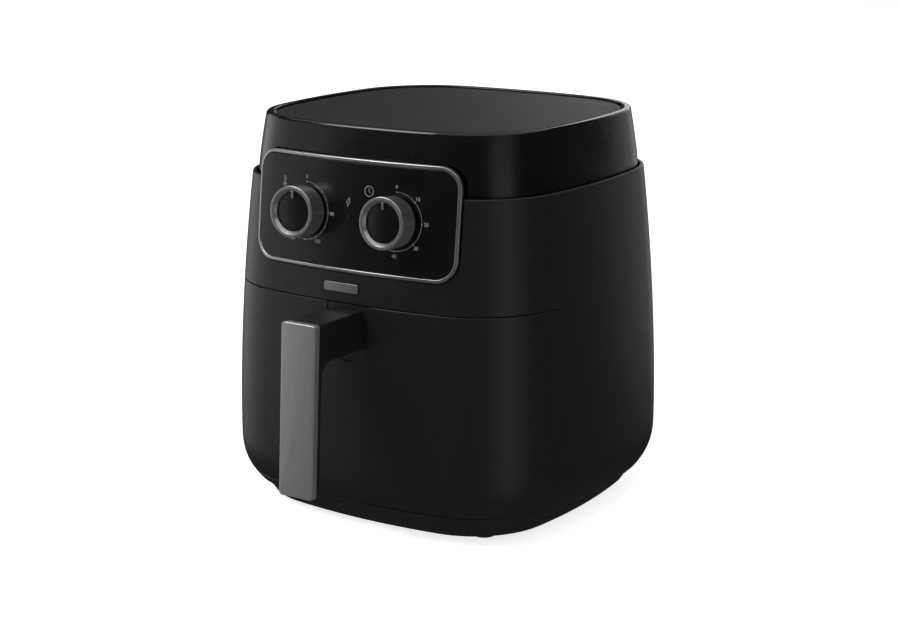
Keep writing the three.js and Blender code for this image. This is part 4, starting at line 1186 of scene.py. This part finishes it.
MATERIALS = {
    "matte_black": moulded("matte_black_plastic", MATTE, (0.38, 0.43)),
    "gloss_black": glossy("gloss_black_plastic", GLOSS, (0.24, 0.3)),
    "polished_black": glossy("polished_black_rim", GLOSS, (0.1, 0.14)),
    "cover_grey": moulded("cover_grey_plastic", COVER_SHADES, (0.5, 0.56), specular=0.25),
    "base_black": moulded("base_black_plastic", BASE_SHADES, (0.48, 0.6)),
    "satin_silver": plated("satin_silver_plating", SILVER, (0.28, 0.32), 0.9),
    "handle_silver": plated("brushed_silver_plating", HANDLE_SILVER, (0.43, 0.47), 0.88, BRUSHED),
    "black_rubber": rubber("black_silicone"),
    "nonstick": coated("nonstick_coating"),
    "sheet_steel": metal("pressed_steel", STEEL, (0.3, 0.46), ROLLED),
    "aluminium_sheet": metal("pressed_aluminium", ALUMINIUM, (0.32, 0.5)),
    "element_sheath": metal("heat_darkened_sheath", SHEATH, (0.4, 0.6), depth=0.03),
    "copper": metal("copper_winding", COPPER, (0.3, 0.45), depth=0.02),
    "brass": metal("turned_brass", BRASS, (0.22, 0.36)),
    "amber_lens": lens("amber_lens_plastic"),
    "white_plastic": moulded("white_insulator", IVORY, (0.4, 0.55), 600),
}


replaced = set()


def dress(obj, material):
    """Gives an object one material."""
    obj.data.materials.clear()
    obj.data.materials.append(MATERIALS[material])


def stand_for(obj, slot, body, *nodes, material=None):
    """A new piece: its material, its body and the CAD nodes it stands for."""
    dress(obj, material or slot)
    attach(obj, body)
    if nodes:
        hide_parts(*nodes)
        replaced.update(nodes)


# ---- the object

stand_for(lower_housing(), "matte_black", "housing", "lower_housing")
stand_for(upper_housing(), "gloss_black", "housing", "upper_housing")
stand_for(rim_ring(), "gloss_black", "housing", material="polished_black")
stand_for(top_cover(), "cover_grey", "housing", "top_cover")
stand_for(bezel(), "satin_silver", "housing", "panel_bezel")
stand_for(fascia(), "gloss_black", "housing", "control_panel")
stand_for(badge(), "satin_silver", "housing", "badge_plate")
for dial, dial_x in (("temperature", -DIAL_X), ("timer", DIAL_X)):
    ring_piece, disc_piece = knob(dial, dial_x)
    stand_for(ring_piece, "satin_silver", f"{dial}_dial", f"{dial}_knob")
    stand_for(disc_piece, "gloss_black", f"{dial}_dial", f"{dial}_knob_cap")
    stand_for(pointer(dial, dial_x), "satin_silver", f"{dial}_dial")

print_piece = markings()
print_piece.data.materials.append(printed("white_print"))
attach(print_piece, "housing")

stand_for(drawer_front(), "matte_black", "drawer", "drawer_front")
stand_for(handle_plate(), "handle_silver", "drawer", "handle_plate")
stand_for(handle_grip(), "matte_black", "drawer", "handle_frame")
stand_for(drawer_pan(), "nonstick", "drawer", "drawer_pan")
stand_for(crisper_tray(), "nonstick", "tray", "crisper_tray")
stand_for(base_tub(), "base_black", "housing", "base_plate")

node_slots = {part["node"]: part["material_slot"] for part in frame["record"]["subparts"]}
for node, obj in frame["nodes"].items():
    if node in replaced:
        continue
    dress(obj, node_slots[node])
    obj.data.shade_smooth()
    obj.data.set_sharp_from_angle(angle=math.radians(28))
    if node in ("rear_vent_grille", "cord_gland"):
        bevel(obj, 0.4, 2, 35)

# ---- floor, light and camera


def floor(reach):
    """A square sheet that reaches so many metres each way."""
    mesh = bpy.data.meshes.new("floor")
    corners = [(-reach, -reach, 0), (reach, -reach, 0), (reach, reach, 0), (-reach, reach, 0)]
    mesh.from_pydata(corners, [], [(0, 1, 2, 3)])
    mesh.materials.append(light_table("pale_floor"))
    sheet = add_object("floor", mesh)
    sheet.visible_glossy = False  # polished parts show the dark studio and its softboxes instead


def area_light(name, position, target, size, power):
    """A white softbox, size in metres and power in watts."""
    data = bpy.data.lights.new(name, "AREA")
    data.shape = "RECTANGLE"
    data.size, data.size_y = size
    data.energy = power
    light = add_object(name, data)
    light.location = position
    aim = Vector(target) - Vector(position)
    light.rotation_euler = aim.to_track_quat("-Z", "Y").to_euler()


floor(60)

world = bpy.data.worlds.new("studio")
world.use_nodes = True
world.node_tree.nodes["Background"].inputs["Color"].default_value = (1, 1, 1, 1)
world.node_tree.nodes["Background"].inputs["Strength"].default_value = 0.03
bpy.context.scene.world = world


def around_object(azimuth, distance, height):
    """A point round the object: azimuth 0 is in front of it, 90 on its right."""
    turn = math.radians(azimuth)
    return (distance * math.sin(turn), -distance * math.cos(turn), height)


AIM = (0, 0, 0.17)
area_light("overhead", (0, 0, 4.0), (0, 0, 0), (9.0, 9.0), 190)
area_light("corner_softbox", around_object(66, 2.6, -0.1), AIM, (1.15, 2.2), 3.8)
area_light("left_softbox", around_object(-77, 2.6, 0.05), AIM, (3.75, 1.8), 12.5)
area_light("left_rear_softbox", around_object(-102, 2.6, 0.5), AIM, (1.2, 2.0), 3)
area_light("front_left_softbox", around_object(-36, 1.0, 1.15), AIM, (0.6, 0.6), 7)
area_light("rear_softbox", around_object(-167, 3.0, 1.36), AIM, (1.6, 1.4), 8.3)
area_light("rear_right_softbox", around_object(174, 3.0, 0.5), AIM, (1.5, 2.4), 7)

AZIMUTH = math.radians(33.245)
ELEVATION = math.radians(13.954)
DISTANCE = 1.67504
LENS = 76.145
SENSOR = 36.0
SHIFT_RIGHT = 0.000117
SHIFT_UP = 0.015247


def camera():
    level_back = math.cos(ELEVATION)
    back = Vector((math.sin(AZIMUTH) * level_back, -math.cos(AZIMUTH) * level_back, math.sin(ELEVATION)))
    right = Vector((math.cos(AZIMUTH), math.sin(AZIMUTH), 0))
    up = back.cross(right)
    middle = Vector((0, BODY_Y / 1000, (FOOT_HEIGHT + HEIGHT / 2) / 1000))
    target = middle - right * SHIFT_RIGHT - up * SHIFT_UP
    data = bpy.data.cameras.new("camera")
    data.lens = LENS
    data.sensor_width = SENSOR
    data.clip_start = 0.05
    obj = add_object("camera", data)
    turn = Matrix((right, up, back)).transposed()
    obj.matrix_world = Matrix.Translation(target + back * DISTANCE) @ turn.to_4x4()
    bpy.context.scene.camera = obj


camera()

look = bpy.context.scene.view_settings
look.view_transform = "Standard"
